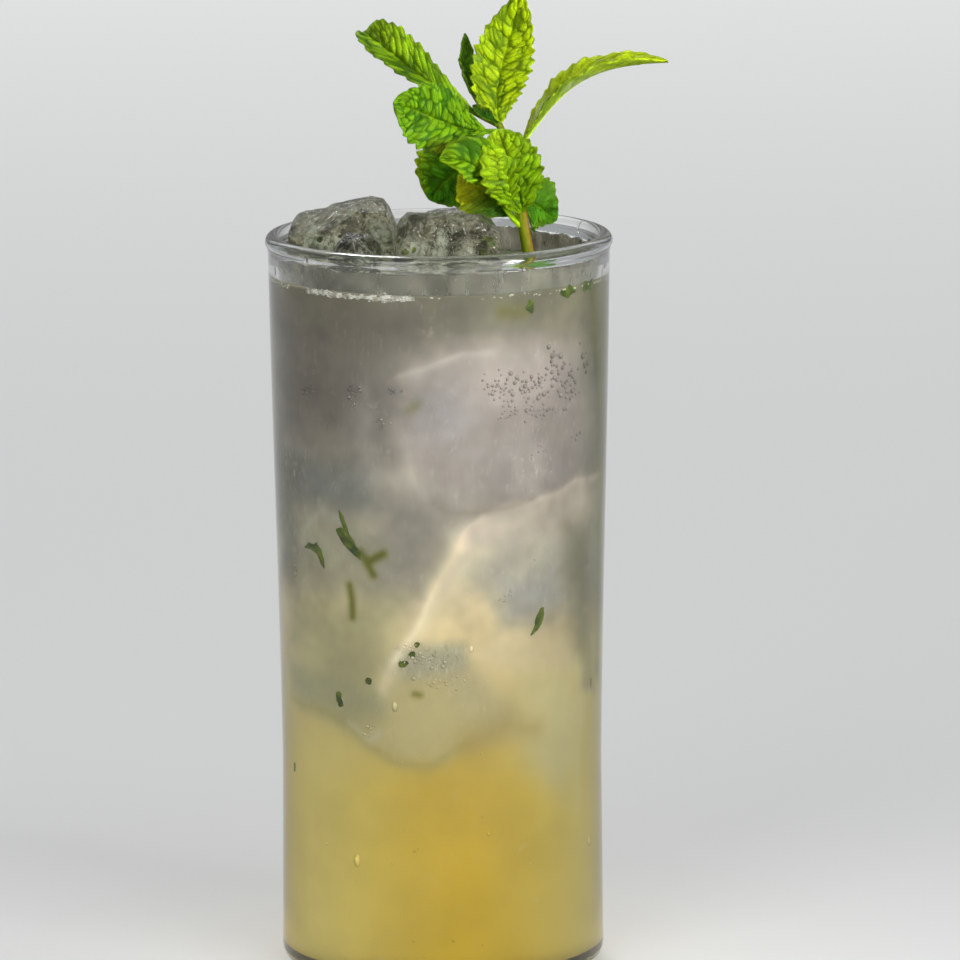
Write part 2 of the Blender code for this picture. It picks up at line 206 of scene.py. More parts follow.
# Each leaf: four points that shape its spine, the way its upper side faces, its half widths, its fold
# in degrees, the cup of its edges, its teeth on a side, the place of its widest part, its tints, and
# patches (share, across, size, tint, strength). Some leaves have their own stalk's length on each
# side, thickness of the rib, or depth of shade in the valleys between the cells.
MINT_LEAVES = {
    "back_left": {
        "spine": ((12.2, 0.5, 169.1), (0.9, 6.1, 173.4), (-12.7, 1.2, 187.7), (-15.1, 10.5, 186.5)),
        "face": (0.28, -0.87, 0.42),
        "halves": (4.6, 5.5),
        "fold": 28.0,
        "cup": 0.05,
        "teeth": 9,
        "widest": 0.64,
        "tints": (FRESH, GRASS),
        "patches": (
            (0.7, 0.5, 0.35, LIME, 0.45), (0.5, -0.75, 0.5, SHADE, 0.7),
            (0.9, -0.3, 0.15, DEEP, 0.4),
        ),
    },
    "left": {
        "spine": ((12.6, 0.2, 168.1), (2.5, -7.2, 168.4), (-2.7, -10.9, 174.0), (-8.7, -12.0, 175.4)),
        "face": (-0.15, -0.95, 0.25),
        "halves": (7.3, 6.9),
        "fold": 6.0,
        "cup": 0.10,
        "teeth": 8,
        "widest": 0.56,
        "tints": (FRESH, GRASS),
        "patches": (
            (0.5, 0.0, 0.9, GRASS, 0.9), (0.25, 0.1, 0.25, DEEP, 0.75),
            (0.6, -0.3, 0.3, DEEP, 0.35), (0.42, -0.95, 0.1, RUST, 0.4),
        ),
        "valley": 1.0,
    },
    "low_left": {
        "spine": ((13.7, -0.6, 165.3), (5.9, 6.4, 162.0), (2.4, 13.0, 157.3), (-1.9, 13.0, 152.8)),
        "face": (-0.2, -0.95, 0.1),
        "halves": (6.6, 8.4),
        "fold": 8.0,
        "cup": 0.10,
        "teeth": 7,
        "widest": 0.62,
        "tints": (GRASS, GRASS),
        "patches": (
            (0.75, 1.0, 0.12, YELLOW, 0.4), (0.97, 0.8, 0.1, YELLOW, 0.4),
            (0.35, 0.0, 0.35, SHADE, 0.4),
        ),
    },
    "low_front": {
        "spine": ((16.5, -4.4, 150.6), (10.6, -7.1, 155.2), (8.2, -6.1, 157.7), (4.1, -5.2, 160.1)),
        "face": (-0.30, -0.92, -0.06),
        "halves": (5.6, 3.0),
        "fold": 14.0,
        "cup": 0.16,
        "teeth": 5,
        "widest": 0.58,
        "tints": (DEEP, DEEP),
        "patches": (
            (1.0, 0.0, 0.36, YELLOW, 1.0), (0.9, 0.6, 0.22, YELLOW, 1.0),
            (0.9, -0.6, 0.22, YELLOW, 1.0), (0.86, 0.3, 0.02, RUST, 0.8),
            (0.92, -0.3, 0.02, RUST, 0.7),
        ),
        "valley": 0.3,
    },
    "front": {
        "spine": ((16.5, -4.4, 151.6), (16.8, -8.8, 157.6), (13.3, -17.3, 165.5), (11.8, -12.5, 170.0)),
        "face": (0.05, -1.0, 0.1),
        "halves": (6.9, 6.4),
        "fold": 5.0,
        "cup": 0.16,
        "teeth": 7,
        "widest": 0.56,
        "stalks": (0.02, 0.06),
        "tints": (FRESH, FRESH),
        "patches": (
            (0.8, -0.3, 0.25, LIME, 0.7), (0.45, 0.5, 0.25, GRASS, 0.45),
            (0.25, -0.1, 0.25, GRASS, 0.5),
        ),
    },
    "front_hooked": {
        "spine": ((16.9, -4.7, 149.1), (10.2, -7.4, 155.2), (10.0, -16.7, 166.3), (0.3, -16.0, 164.6)),
        "face": (-0.25, -0.90, 0.35),
        "halves": (3.4, 7.0),
        "fold": 8.0,
        "cup": 0.16,
        "rib": 1.1,
        "teeth": 6,
        "widest": 0.5,
        "stalks": (0.45, 0.2),
        "tints": (FRESH, GRASS),
        "patches": ((0.85, 0.2, 0.2, DEEP, 0.4), (0.45, 0.3, 0.15, LIME, 0.6)),
    },
    "tall": {
        "spine": ((12.4, 0.4, 168.6), (10.1, 4.4, 176.4), (14.4, 6.5, 184.0), (16.6, 0.5, 195.8)),
        "face": (0.0, -1.0, 0.05),
        "halves": (6.6, 6.2),
        "fold": 8.0,
        "cup": 0.08,
        "teeth": 9,
        "widest": 0.52,
        "stalks": (0.02, 0.02),
        "tints": (LIME, FRESH),
        "patches": (
            # The DEEP patch low in the middle is a painted shadow cast by another leaf
            (0.33, 0.0, 0.2, DEEP, 0.6), (0.8, 0.3, 0.3, LIME, 0.4), (0.7, -0.5, 0.2, FRESH, 0.6),
        ),
    },
    "narrow": {
        "spine": ((12.2, 0.6, 169.3), (6.3, 6.1, 173.7), (4.4, 8.1, 179.4), (5.5, 8.5, 186.6)),
        "face": (0.90, -0.42, 0.12),
        "halves": (3.6, 3.6),
        "fold": 6.0,
        "cup": 0.14,
        "teeth": 6,
        "widest": 0.6,
        "tints": (GRASS, DEEP),
        "patches": ((0.9, 0.0, 0.25, FRESH, 0.7),),
    },
    "right": {
        "spine": ((14.5, -1.5, 162.5), (21.6, 0.7, 172.9), (26.5, 2.8, 182.2), (45.7, 0.5, 181.7)),
        "face": (-0.50, -0.12, 0.85),
        "halves": (4.8, 5.2),
        "fold": 16.0,
        "cup": 0.24,
        "teeth": 10,
        "widest": 0.55,
        "stalks": (0.12, 0.12),
        "tints": (LIME, LIME),
        # The whitish patches are painted highlights of gloss
        "patches": (
            (0.25, 0.8, 0.25, SHADE, 0.7), (0.45, 0.9, 0.1, DEEP, 0.6),
            (0.55, 0.3, 0.08, GLOSS_HIGHLIGHT, 1.0), (0.66, 0.0, 0.06, GLOSS_HIGHLIGHT, 1.0), (0.3, -0.4, 0.1, GLOSS_HIGHLIGHT, 0.9),
            (0.18, 0.0, 0.06, GLOSS_HIGHLIGHT, 0.8),
        ),
        "valley": 0.5,
    },
    "low_right": {
        "spine": ((16.2, -4.0, 153.3), (18.9, 1.9, 154.0), (19.6, 4.8, 152.8), (23.5, 7.0, 149.2)),
        "face": (0.40, -0.90, 0.10),
        "halves": (6.2, 5.6),
        "fold": 4.0,
        "cup": 0.08,
        "teeth": 6,
        "widest": 0.42,
        "tints": (GRASS, DEEP),
        "patches": ((0.7, 0.8, 0.2, FRESH, 0.4), (0.6, -0.8, 0.2, FRESH, 0.3)),
    },
    "bud": {
        "spine": ((12.2, 0.5, 169.2), (9.4, -0.1, 171.3), (8.4, 0.2, 172.2), (7.0, 1.0, 173.1)),
        "face": (0.3, -0.7, 0.6),
        "halves": (1.6, 1.6),
        "fold": 10.0,
        "cup": 0.1,
        "teeth": 4,
        "widest": 0.5,
        "tints": (DEEP, SHADE),
        "patches": ((0.7, 0.9, 0.15, YELLOW, 0.6),),
    },
}
USUAL_STALKS = (0.1, 0.1)
USUAL_RIB = 0.6
USUAL_VALLEY_SHADE = 0.9
LEAF_THICKNESS = 0.4 * MM
LEAF_ROWS_PER_TOOTH = 11
LEAF_COLUMNS = 60
FULL_WIDTH = 3.0 * MM
FINE_TEETH = 1.4
STALK_HALF_WIDTH = 0.55 * MM
TOOTH_TIP_PLACE = 0.72
TOOTH_DEPTH = 0.15
TIP_HALF_WIDTH = 0.2 * MM
OUTLINE_FULLNESS = 0.7
CUP_POWER = 1.6
EDGE_WAVE = 0.05
EDGE_WAVES = 2.5
RUFFLE = 0.06
RUFFLES = 5.5
SIDE_VEINS = 8
VEIN_SLOPE = 0.16
QUILT_HEIGHT = 0.46 * MM
CELL_HEIGHT = 0.52 * MM
CELL_LENGTH = 1.35 * MM
CELL_WIDTH = 2.9 * MM
GROOVE_DEPTH = 0.3 * MM
CRINKLE = 0.1 * MM
CRINKLE_SIZE = 1.6 * MM
USUAL_LEAF_LENGTH = 27.0 * MM
MIDRIB_RADIUS = 0.55 * MM
MIDRIB_SHARE = 0.8
MIDRIB_POINTS = 14
MIDRIB_DROP = 0.35 * MM
MIDRIB_TAPER = 0.78

# The drink's colours by height in mm, as they look in soft light
DRINK_BANDS = (
    (0.0, (196, 164, 44)),
    (28.0, (192, 160, 42)),
    (40.0, (188, 158, 50)),
    (50.0, (184, 160, 80)),
    (60.0, (190, 172, 116)),
    (70.0, (202, 182, 134)),
    (80.0, (196, 180, 143)),
    (88.0, (178, 168, 142)),
    (97.0, (150, 143, 129)),
    (112.0, (152, 144, 136)),
    (125.0, (158, 150, 142)),
    (133.0, (112, 107, 93)),
    (139.0, (98, 95, 79)),
)
# Painted light: the paler tint given to the drink beside its golden middle, where side light falls and
# the drink is seen thinner
DRINK_SIDE_LIGHT_TINT = (204, 196, 140)

# Ice sunk in the drink, where it shows through the wall: corners (degrees from the front, height in
# mm), tint, strength, softness of its edge in mm, and how frosty it is
SUNK_FACES = (
    # Painted shade: the upper left of the drink made darker, drawn as a block of sunk ice
    (
        "left block", ((-80, 137), (-2, 139), (-13, 123), (-22, 109), (-42, 106.5), (-80, 106)),
        (94, 88, 78), 0.84, 9.0, 0.2,
    ),
    (
        "left block middle", ((-34, 121), (-20, 122), (-18, 108), (-36, 108)),
        (122, 115, 107), 0.6, 5.0, 0.2,
    ),
    (
        "light middle",
        (
            (-7, 123), (-3, 126), (12, 129), (33, 130), (55, 125), (63, 116), (66, 108), (63, 102),
            (38, 99), (23, 97.5), (11, 97), (-3, 98.5), (-10, 105), (-10, 115),
        ),
        (137, 128, 121), 0.75, 5.0, 0.3,
    ),
    (
        "rosy patch", ((10, 122), (14, 129), (36, 129.5), (52, 124), (44, 117), (24, 116)),
        (164, 153, 144), 0.8, 4.5, 0.2,
    ),
    (
        "blue patch", ((-8, 121), (8, 123), (12, 115), (6, 110), (-8, 112)),
        (141, 138, 138), 0.5, 5.0, 0.3,
    ),
    (
        "grey sweep", ((8, 108), (30, 112), (56, 104), (50, 99), (30, 99), (14, 104)),
        (142, 134, 129), 0.6, 3.6, 0.3,
    ),
    (
        "white wisp", ((26, 108), (38, 108), (44, 103), (34, 100), (26, 102)),
        (178, 168, 158), 0.6, 2.6, 0.6,
    ),
    (
        "left blue grey", ((-64, 106), (-26, 105.5), (-22, 98), (-36, 95.5), (-64, 97)),
        (106, 108, 102), 0.75, 3.4, 0.2,
    ),
    # Painted shade darkening the drink's left edge, with real frost speckled in it
    (
        "left frost",
        ((-84, 102), (-70, 108), (-57, 105), (-61, 94), (-54, 86), (-63, 76), (-80, 80)),
        (76, 76, 62), 0.6, 5.0, 1.0,
    ),
    (
        "below left", ((-60, 96), (-34, 96.5), (-15, 87.5), (-15, 79), (-62, 78)),
        (128, 126, 106), 0.6, 5.0, 0.3,
    ),
    (
        "grey beige", ((-22, 103), (3, 97), (2, 88), (-7, 80), (-22, 82)),
        (122, 117, 107), 0.75, 5.0, 0.2,
    ),
    (
        "left lower band", ((-72, 76), (-16, 79), (-17, 67), (-27, 59), (-72, 66)),
        (152, 147, 108), 0.75, 4.5, 0.1,
    ),
    (
        "under ridge",
        (
            (17, 96), (34, 97.6), (56, 100), (66, 100), (66, 91), (48, 89), (22, 90), (9, 90),
            (2, 82), (4, 92),
        ),
        (182, 170, 153), 0.9, 2.4, 0.1,
    ),
    (
        "blue face",
        (
            (10, 86), (26, 90), (52, 90), (78, 91), (80, 75.5), (54, 75.0), (34, 73.6), (24, 74.2),
            (21, 78.2), (14, 82.2),
        ),
        (158, 154, 143), 0.7, 3.8, 0.3,
    ),
    (
        "blue face core", ((22, 82), (46, 84), (50, 78), (34, 75), (23, 75.5)),
        (158, 158, 152), 0.6, 3.4, 0.4,
    ),
    (
        "cream below", ((24, 73.6), (34, 73), (48, 73.8), (74, 72), (60, 62), (30, 64), (12, 68)),
        (194, 179, 142), 0.6, 2.4, 0.0,
    ),
    (
        "lower cube",
        (
            (-74, 64), (-40, 64), (-24, 60), (-17, 68), (-10, 70), (8, 69.5), (20, 60), (34, 55),
            (28, 51.4), (10, 50.5), (-1, 46.6), (-16, 46.8), (-28, 49), (-41, 52), (-66, 55.5),
        ),
        (164, 155, 116), 0.65, 3.0, 0.35,
    ),
    (
        "lower cube shade", ((-72, 62), (-44, 64), (-24, 60), (-20, 56), (-40, 54), (-70, 57)),
        (142, 141, 106), 0.7, 3.4, 0.2,
    ),
    (
        "cube corner", ((-17, 69), (-4, 70.8), (9, 70), (9, 66), (1, 64.5), (-12, 64), (-20, 65)),
        (152, 150, 128), 0.7, 2.0, 1.0,
    ),
    (
        "cube nose", ((-18, 62), (2, 62), (10, 52), (2, 47), (-14, 47), (-24, 51)),
        (178, 165, 112), 0.6, 2.0, 0.1,
    ),
    (
        "right pale", ((34, 62), (50, 62), (59, 56), (60, 44), (50, 37), (36, 43), (28, 52)),
        (190, 180, 132), 0.8, 4.5, 0.0,
    ),
    # Painted shade along the drink's right edge
    ("right grey", ((52, 92), (68, 92), (70, 64), (58, 66), (54, 76)), (116, 113, 84), 0.75, 4.5, 0.2),
    ("right upper grey", ((60, 134), (88, 134), (88, 100), (68, 100)), (98, 93, 72), 0.9, 5.0, 0.2),
    ("right lower grey", ((60, 70), (70, 66), (74, 56), (62, 58)), (140, 134, 92), 0.7, 1.6, 0.1),
)

# Lines of light and shade along the sunk ice: points, tint, strength, and how far it fades in mm on
# the left and on the right of its run
SUNK_LINES = (
    (
        "ridge right",
        (
            (78, 100.6), (56, 100.4), (45, 99.3), (34, 98.1), (25, 97.7), (17, 96.4), (10, 93.8),
            (5, 89.9),
        ),
        (212, 194, 174), 0.8, 0.9, 0.35,
    ),
    (
        "ridge down",
        ((5, 89.9), (1, 85.1), (-2, 81.1), (-6, 76.4), (-12, 71.3), (-17, 66.7), (-23, 61.2)),
        (222, 206, 168), 0.75, 1.3, 0.8,
    ),
    ("ridge core", ((-3, 80), (-7, 75.8), (-12, 71.3), (-17, 66.7)), (232, 218, 184), 0.7, 0.5, 0.5),
    (
        "middle upper edge", ((-14, 124.2), (-3, 126.5), (8, 128.4), (16, 129)),
        (182, 172, 160), 0.6, 0.4, 0.8,
    ),
    (
        "middle lower edge", ((34, 98.6), (23, 97.2), (11, 96.8), (2, 97.6), (-6, 98.6)),
        (120, 114, 102), 0.6, 0.5, 0.5,
    ),
    ("left block base", ((-70, 107.5), (-42, 108), (-24, 109.4)), (134, 127, 115), 0.6, 0.8, 0.8),
    (
        "blue face edge",
        ((13, 84), (17, 81), (21, 77.6), (24, 74.4), (34, 73.4), (44, 73.8), (60, 75.2)),
        (146, 142, 124), 0.4, 0.5, 0.8,
    ),
    ("left arc", ((-58, 88), (-56, 92), (-48, 95.6), (-40, 94.6)), (166, 160, 142), 0.6, 0.7, 0.5),
    (
        "cube lower edge",
        ((-70, 55.6), (-48, 54.9), (-36, 53), (-28, 49.5), (-18, 46.8), (-5, 45.8), (8, 50)),
        (150, 140, 82), 0.5, 0.5, 0.9,
    ),
    ("cube edge frost", ((-36, 53.6), (-28, 50.4), (-24, 52.5)), (186, 182, 150), 0.6, 0.5, 0.5),
    ("right olive shade", ((10, 50.5), (24, 53.2), (36, 52)), (156, 136, 72), 0.6, 1.8, 1.8),
    ("tall fold left", ((-25, 122), (-27, 112), (-25, 104)), (140, 134, 126), 0.5, 0.8, 1.4),
    ("fold middle", ((-12, 112), (-10, 104), (-5, 99.4)), (172, 163, 152), 0.5, 0.6, 1.2),
    # Painted light and shade in lines along the drink's right edge
    ("right edge light", ((66, 126), (67, 112), (64, 100)), (120, 122, 112), 0.6, 0.6, 0.6),
    ("right green edge", ((77, 135), (78, 104), (77, 80), (78, 60)), (112, 110, 34), 0.8, 1.6, 1.6),
    ("right pale streak", ((63, 62), (61, 48), (60, 34)), (200, 194, 150), 0.35, 0.8, 1.2),
)

# Faces and lines that the drink's back doesn't have: painted shade and light along the front's left and
# right edges, the left one with frost in it
FRONT_EDGE_LIGHT_AND_SHADE = (
    "left frost", "right grey",
    "right upper grey", "right lower grey", "right green edge", "right edge light",
)
LINE_STRENGTH = 0.85
LINE_SPREAD = 1.6
BACK_SHIFT = 5.0

# The shade on the right: where it sets in and fades in degrees, and its depth high up and low down
RIGHT_SHADE_FROM = (5, 72)
RIGHT_SHADE_TO = (104, 86)
RIGHT_SHADE_HIGH = 0.24
RIGHT_SHADE_LOW = 0.07

# Mint that floats deeper in the cloudy drink and so looks blurred: points, width in mm, strength
BLURRED_MINT = (
    (((-30, 88.4), (-28, 86.9), (-25, 84.0)), 0.8, 0.9),
    (((-27, 86.6), (-21, 88.4)), 0.9, 0.9),
    (((-35, 81.5), (-34, 78.5), (-34, 75.1)), 0.8, 0.85),
    (((-8, 118.5), (-11, 117.2)), 1.0, 0.25),
    (((22, 136.6), (30, 136.2)), 1.6, 0.35),
    (((66, 138), (68, 130), (70, 122)), 1.6, 0.45),
    (((-10, 60.4), (-8, 60.2)), 0.7, 0.6),
)
BLURRED_MINT_TINT = (86, 88, 10)

# Flecks of mint against the wall: outline corners in degrees from the front and height in mm
MINT_FLECKS = (
    (
        (-57.5, 87.3), (-53.5, 88.6), (-50, 88.3), (-47.6, 86.6), (-46.8, 84.2), (-48.6, 85.0),
        (-50.2, 86.6), (-53.5, 87.4),
    ),
    ((-39.0, 96.2), (-37.2, 95.4), (-35.6, 93.0), (-34.6, 91.6), (-36.4, 92.4)),
    (
        (-40.5, 92.4), (-37.4, 92.8), (-34.2, 91.0), (-30.2, 88.2), (-30.0, 86.8), (-33.4, 88.2),
        (-38.0, 90.2),
    ),
    ((38.0, 76.0), (40.4, 76.2), (40.2, 74.4), (37.0, 72.0), (34.4, 71.2), (36.6, 73.4)),
    ((-14.8, 66.8), (-12.8, 66.6), (-13.4, 65.7), (-14.6, 66.0)),
    ((-11.6, 68.4), (-10.4, 68.5), (-10.8, 67.8)),
    ((-42.0, 58.8), (-40.2, 58.9), (-39.6, 57.4), (-41.0, 56.8), (-42.2, 57.6)),
    ((-9.4, 70.6), (-8.4, 70.6), (-9.0, 70.1)),
    ((-28.6, 62.6), (-27.6, 62.6), (-28.0, 62.0)),
    ((-70.4, 42.2), (-69.4, 42.0), (-70.2, 40.2)),
    ((69.8, 59.0), (70.8, 58.6), (70.2, 57.0)),
    ((32.6, 138.1), (33.6, 137.8), (34.1, 137.0), (33.4, 136.2), (32.5, 136.4), (32.0, 137.2)),
    (
        (46.0, 138.8), (47.5, 139.6), (49.5, 139.4), (51.0, 140.1), (53.2, 139.6), (53.6, 138.8),
        (51.8, 138.6), (50.0, 138.0), (48.0, 138.5),
    ),
    (
        (59.5, 139.5), (61.0, 140.4), (62.6, 139.9), (64.8, 140.3), (65.2, 139.4), (64.0, 138.5),
        (62.4, 138.9), (60.4, 138.5),
    ),
    ((120.0, 96.2), (123.2, 97.0), (125.4, 94.6), (123.0, 92.4), (121.4, 94.4)),
    ((146.0, 70.2), (148.2, 71.6), (151.0, 70.2), (149.0, 68.0)),
    ((168.0, 110.2), (172.0, 111.4), (174.0, 108.2), (170.6, 107.0)),
    ((196.0, 62.2), (199.0, 63.2), (200.0, 60.2), (197.0, 59.4)),
    ((214.0, 92.2), (216.0, 94.2), (219.0, 91.2), (217.0, 89.0)),
    ((236.0, 124.2), (240.0, 124.6), (241.0, 121.6), (238.0, 121.0)),
)
FLECK_DEPTH = 0.22 * MM
FLECK_GROWTH = 0.3
FLECK_RAGGEDNESS = 2.6

# Bubbles that cling to the wall: degrees from the front, height in mm, spread of each, how many, and
# their smallest and largest radius in mm
BUBBLE_PATCHES = (
    (20, 121.5, 5.0, 2.6, 46, 0.10, 0.26),
    (33, 121.0, 8.0, 3.2, 70, 0.10, 0.28),
    (44, 124.5, 5.0, 3.0, 40, 0.12, 0.34),
    (52, 121.0, 5.0, 2.6, 30, 0.12, 0.28),
    (26, 116.5, 5.0, 1.8, 24, 0.10, 0.22),
    (40, 116.0, 8.0, 1.6, 26, 0.10, 0.2),
    (60, 124.0, 3.0, 3.6, 14, 0.14, 0.34),
    (-52, 119.8, 5.0, 0.8, 16, 0.12, 0.28),
    (-32, 121.0, 3.0, 0.8, 10, 0.12, 0.26),
    (-32, 118.6, 1.4, 1.6, 9, 0.10, 0.2),
    (-16, 120.8, 2.2, 1.0, 9, 0.12, 0.24),
    (-20, 114.0, 4.0, 2.4, 8, 0.10, 0.18),
    (56, 109.5, 2.4, 1.0, 7, 0.14, 0.3),
    (38, 109.0, 5.0, 2.4, 10, 0.10, 0.18),
    (24, 79.5, 4.0, 1.6, 16, 0.08, 0.18),
    (-6, 67.5, 9.0, 2.2, 46, 0.08, 0.2),
    (2, 63.0, 9.0, 1.6, 20, 0.08, 0.18),
    (-12, 69.6, 6.0, 1.0, 20, 0.08, 0.16),
    (-64, 82.0, 1.8, 1.0, 8, 0.16, 0.3),
    (-28, 52.0, 3.0, 1.4, 9, 0.08, 0.16),
    (0, 30.0, 46.0, 20.0, 14, 0.08, 0.16),
    (100, 121.0, 12.0, 5.0, 60, 0.10, 0.28),
    (150, 112.0, 12.0, 4.0, 60, 0.10, 0.28),
    (190, 124.0, 10.0, 3.0, 50, 0.10, 0.3),
    (235, 118.0, 10.0, 3.0, 46, 0.10, 0.26),
    (170, 78.0, 16.0, 6.0, 40, 0.08, 0.2),
    (120, 60.0, 16.0, 6.0, 30, 0.08, 0.18),
    (240, 68.0, 14.0, 6.0, 30, 0.08, 0.2),
)
BUBBLE_GROWTH = 2.1
# The way that the painted glint on each bubble faces
BUBBLE_GLINT_WAY = (-0.25, -0.85, 0.45)

# Single drops and bubbles that stand out: degrees from the front, height in mm, radius in mm, stretch
SINGLE_BUBBLES = (
    (-33.5, 25.6, 0.75, 1.9),
    (-58.0, 132.0, 0.35, 0.7),
    (11.0, 69.4, 0.5, 1.6),
    (-17.5, 57.6, 0.6, 1.8),
    (69.0, 26.0, 0.7, 1.8),
    (36.0, 86.4, 0.42, 0.7),
    (51.0, 90.0, 0.3, 0.8),
)

# Froth along the waterline: from and to in degrees, and how many bubbles
FROTH_RUNS = ((-52, -9, 760), (-9, 20, 6), (20, 75, 40), (75, 170, 160), (170, 297, 260))

# Drops of water: those on the wall, the heights in mm between which they hang, those on the rim
# (degrees from the front, radius in mm), and those on each cube, above a height
WALL_DROPS = 150
WALL_DROP_HEIGHTS = (140.8, 145.0)
RIM_DROPS = ((-49.0, 0.62), (-22.0, 0.4), (38.0, 0.36), (121.0, 0.5), (208.0, 0.45))
RIM_DROP_HEIGHT = 146.0 * MM
ICE_DROPS = 60
ICE_DROPS_FROM = 141 * MM

SEED = 7


def linear(tint):
    """A colour from 0 to 255, as a screen shows it, in the scene's linear values."""
    shares = [part / 255 for part in tint]
    return tuple(s / 12.92 if s <= 0.04045 else ((s + 0.055) / 1.055) ** 2.4 for s in shares)


def wall_radius(height):
    """The outer radius of the glass's wall, which is a little narrower at a low waist."""
    if height < WAIST_HEIGHT:
        share = 1 - height / WAIST_HEIGHT
        return WAIST_RADIUS + (WALL_BOTTOM_RADIUS - WAIST_RADIUS) * share
    share = (height - WAIST_HEIGHT) / (GLASS_HEIGHT - WAIST_HEIGHT)
    rise = (share + share * share * (3 - 2 * share)) / 2
    return WAIST_RADIUS + (WALL_TOP_RADIUS - WAIST_RADIUS) * rise


def bore_radius(height):
    """The inner radius of the glass's wall."""
    share = height / GLASS_HEIGHT
    thickness = WALL_BOTTOM_THICKNESS + (WALL_TOP_THICKNESS - WALL_BOTTOM_THICKNESS) * share
    return wall_radius(height) - thickness


def on_wall(degrees, height, reach):
    """The point at an angle from the front and a height in metres, some way outside the bore."""
    angle = math.radians(degrees)
    radius = bore_radius(height) + reach
    return Vector((radius * math.sin(angle), -radius * math.cos(angle), height))


def arc(centre, radius, start, end, steps):
    """Points (r, z) on an arc, both ends included, with angles in degrees."""
    points = []
    for index in range(steps + 1):
        angle = math.radians(start + (end - start) * index / steps)
        points.append((centre[0] + radius * math.cos(angle), centre[1] + radius * math.sin(angle)))
    return points


def spread(low, high, step):
    """Evenly spaced numbers from low to high, both included, no further apart than step."""
    count = max(1, math.ceil((high - low) / step))
    return [low + (high - low) * index / count for index in range(count + 1)]


def start_modelling():
    """Object mode with nothing selected, so that an operator acts on the new piece alone."""
    if bpy.context.mode != "OBJECT":
        bpy.ops.object.mode_set(mode="OBJECT")
    bpy.ops.object.select_all(action="DESELECT")


@contextmanager
def edit_mode():
    """Edit mode with all of the active piece selected, and object mode again afterwards."""
    bpy.ops.object.mode_set(mode="EDIT")
    bpy.ops.mesh.select_all(action="SELECT")
    yield
    bpy.ops.object.mode_set(mode="OBJECT")


def close_seams():
    """Merges the selected points that lie together and turns all faces outwards."""
    bpy.ops.mesh.select_all(action="SELECT")
    bpy.ops.mesh.remove_doubles(threshold=0.001 * MM)
    bpy.ops.mesh.normals_make_consistent(inside=False)


def turned_piece(name, profile, steps):
    """A closed piece turned about the axis from (r, z) points, extruded one by one and spun."""
    start_modelling()
    bpy.ops.mesh.primitive_plane_add(size=1 * MM, location=(0, 0, 0))
    piece = bpy.context.object
    piece.name = name
    with edit_mode():
        bpy.ops.mesh.merge(type="CENTER")
        bpy.ops.transform.translate(value=(profile[0][0], 0, profile[0][1]))
        for (radius, height), (next_radius, next_height) in zip(profile, profile[1:]):
            move = {"value": (next_radius - radius, 0, next_height - height)}
            bpy.ops.mesh.extrude_region_move(TRANSFORM_OT_translate=move)
        bpy.ops.mesh.select_all(action="SELECT")
        bpy.ops.mesh.spin(steps=steps, angle=2 * math.pi, center=(0, 0, 0), axis=(0, 0, 1))
        close_seams()
    bpy.ops.object.shade_smooth()
    return piece


def finish_piece(piece, node, materials):
    """Names the piece's finish, lets it ride, and puts it in place of its CAD node, if it has one."""
    piece.data.materials.clear()
    for material in materials:
        piece.data.materials.append(material)
    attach(piece, BODY)
    if node:
        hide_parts(node)


def apply_modifier(piece, kind, **settings):
    """Adds a modifier to the piece and applies it."""
    start_modelling()
    bpy.context.view_layer.objects.active = piece
    piece.select_set(True)
    modifier = piece.modifiers.new(kind.title(), kind)
    for key, value in settings.items():
        setattr(modifier, key, value)
    bpy.ops.object.modifier_apply(modifier=modifier.name)


def mesh_points(mesh):
    """The mesh's points as an array with a row each."""
    points = np.empty(len(mesh.vertices) * 3)
    mesh.vertices.foreach_get("co", points)
    return points.reshape(-1, 3)


def set_colours(mesh, name, colours):
    """Stores a colour for each point of the mesh."""
    layer = mesh.attributes.new(name, "FLOAT_COLOR", "POINT")
    full = np.ones((len(mesh.vertices), 4))
    full[:, :3] = colours
    layer.data.foreach_set("color", full.ravel())


def set_values(mesh, name, values):
    """Stores a number for each point of the mesh."""
    layer = mesh.attributes.new(name, "FLOAT", "POINT")
    layer.data.foreach_set("value", np.asarray(values, dtype=float))


def smooth_step(low, high, values):
    """0 below low, 1 above high, and an eased rise between them."""
    share = np.clip((values - low) / (high - low), 0, 1)
    return share * share * (3 - 2 * share)


def fill(tree, node, **inputs):
    """Sets each named input of a node to a value or links it from a socket, and returns the node."""
    for key, value in inputs.items():
        place = int(key[1:]) if key[0] == "i" and key[1:].isdigit() else key.replace("_", " ")
        socket = node.inputs[place]
        if isinstance(value, bpy.types.NodeSocket):
            tree.links.new(value, socket)
        else:
            socket.default_value = value
    return node


def new_node(tree, kind, settings=None, **inputs):
    """A node with its settings and its inputs."""
    node = tree.nodes.new(kind)
    for key, value in (settings or {}).items():
        setattr(node, key, value)
    return fill(tree, node, **inputs)


def maths(tree, operation, first, second=0.0, third=None):
    """The result of a Math node on numbers or sockets."""
    inputs = {"i0": first, "i1": second}
    if third is not None:
        inputs["i2"] = third
    return new_node(tree, "ShaderNodeMath", {"operation": operation}, **inputs).outputs[0]


def opaque(tint):
    """A colour with its alpha, or a colour's socket as it is."""
    return tint if isinstance(tint, bpy.types.NodeSocket) else (*tint[:3], 1.0)


def mixed(tree, factor, first, second, blend="MIX"):
    """The result of mixing two colours or colour sockets."""
    settings = {"data_type": "RGBA", "blend_type": blend}
    inputs = {"i0": factor, "i6": opaque(first), "i7": opaque(second)}
    return new_node(tree, "ShaderNodeMix", settings, **inputs).outputs[2]


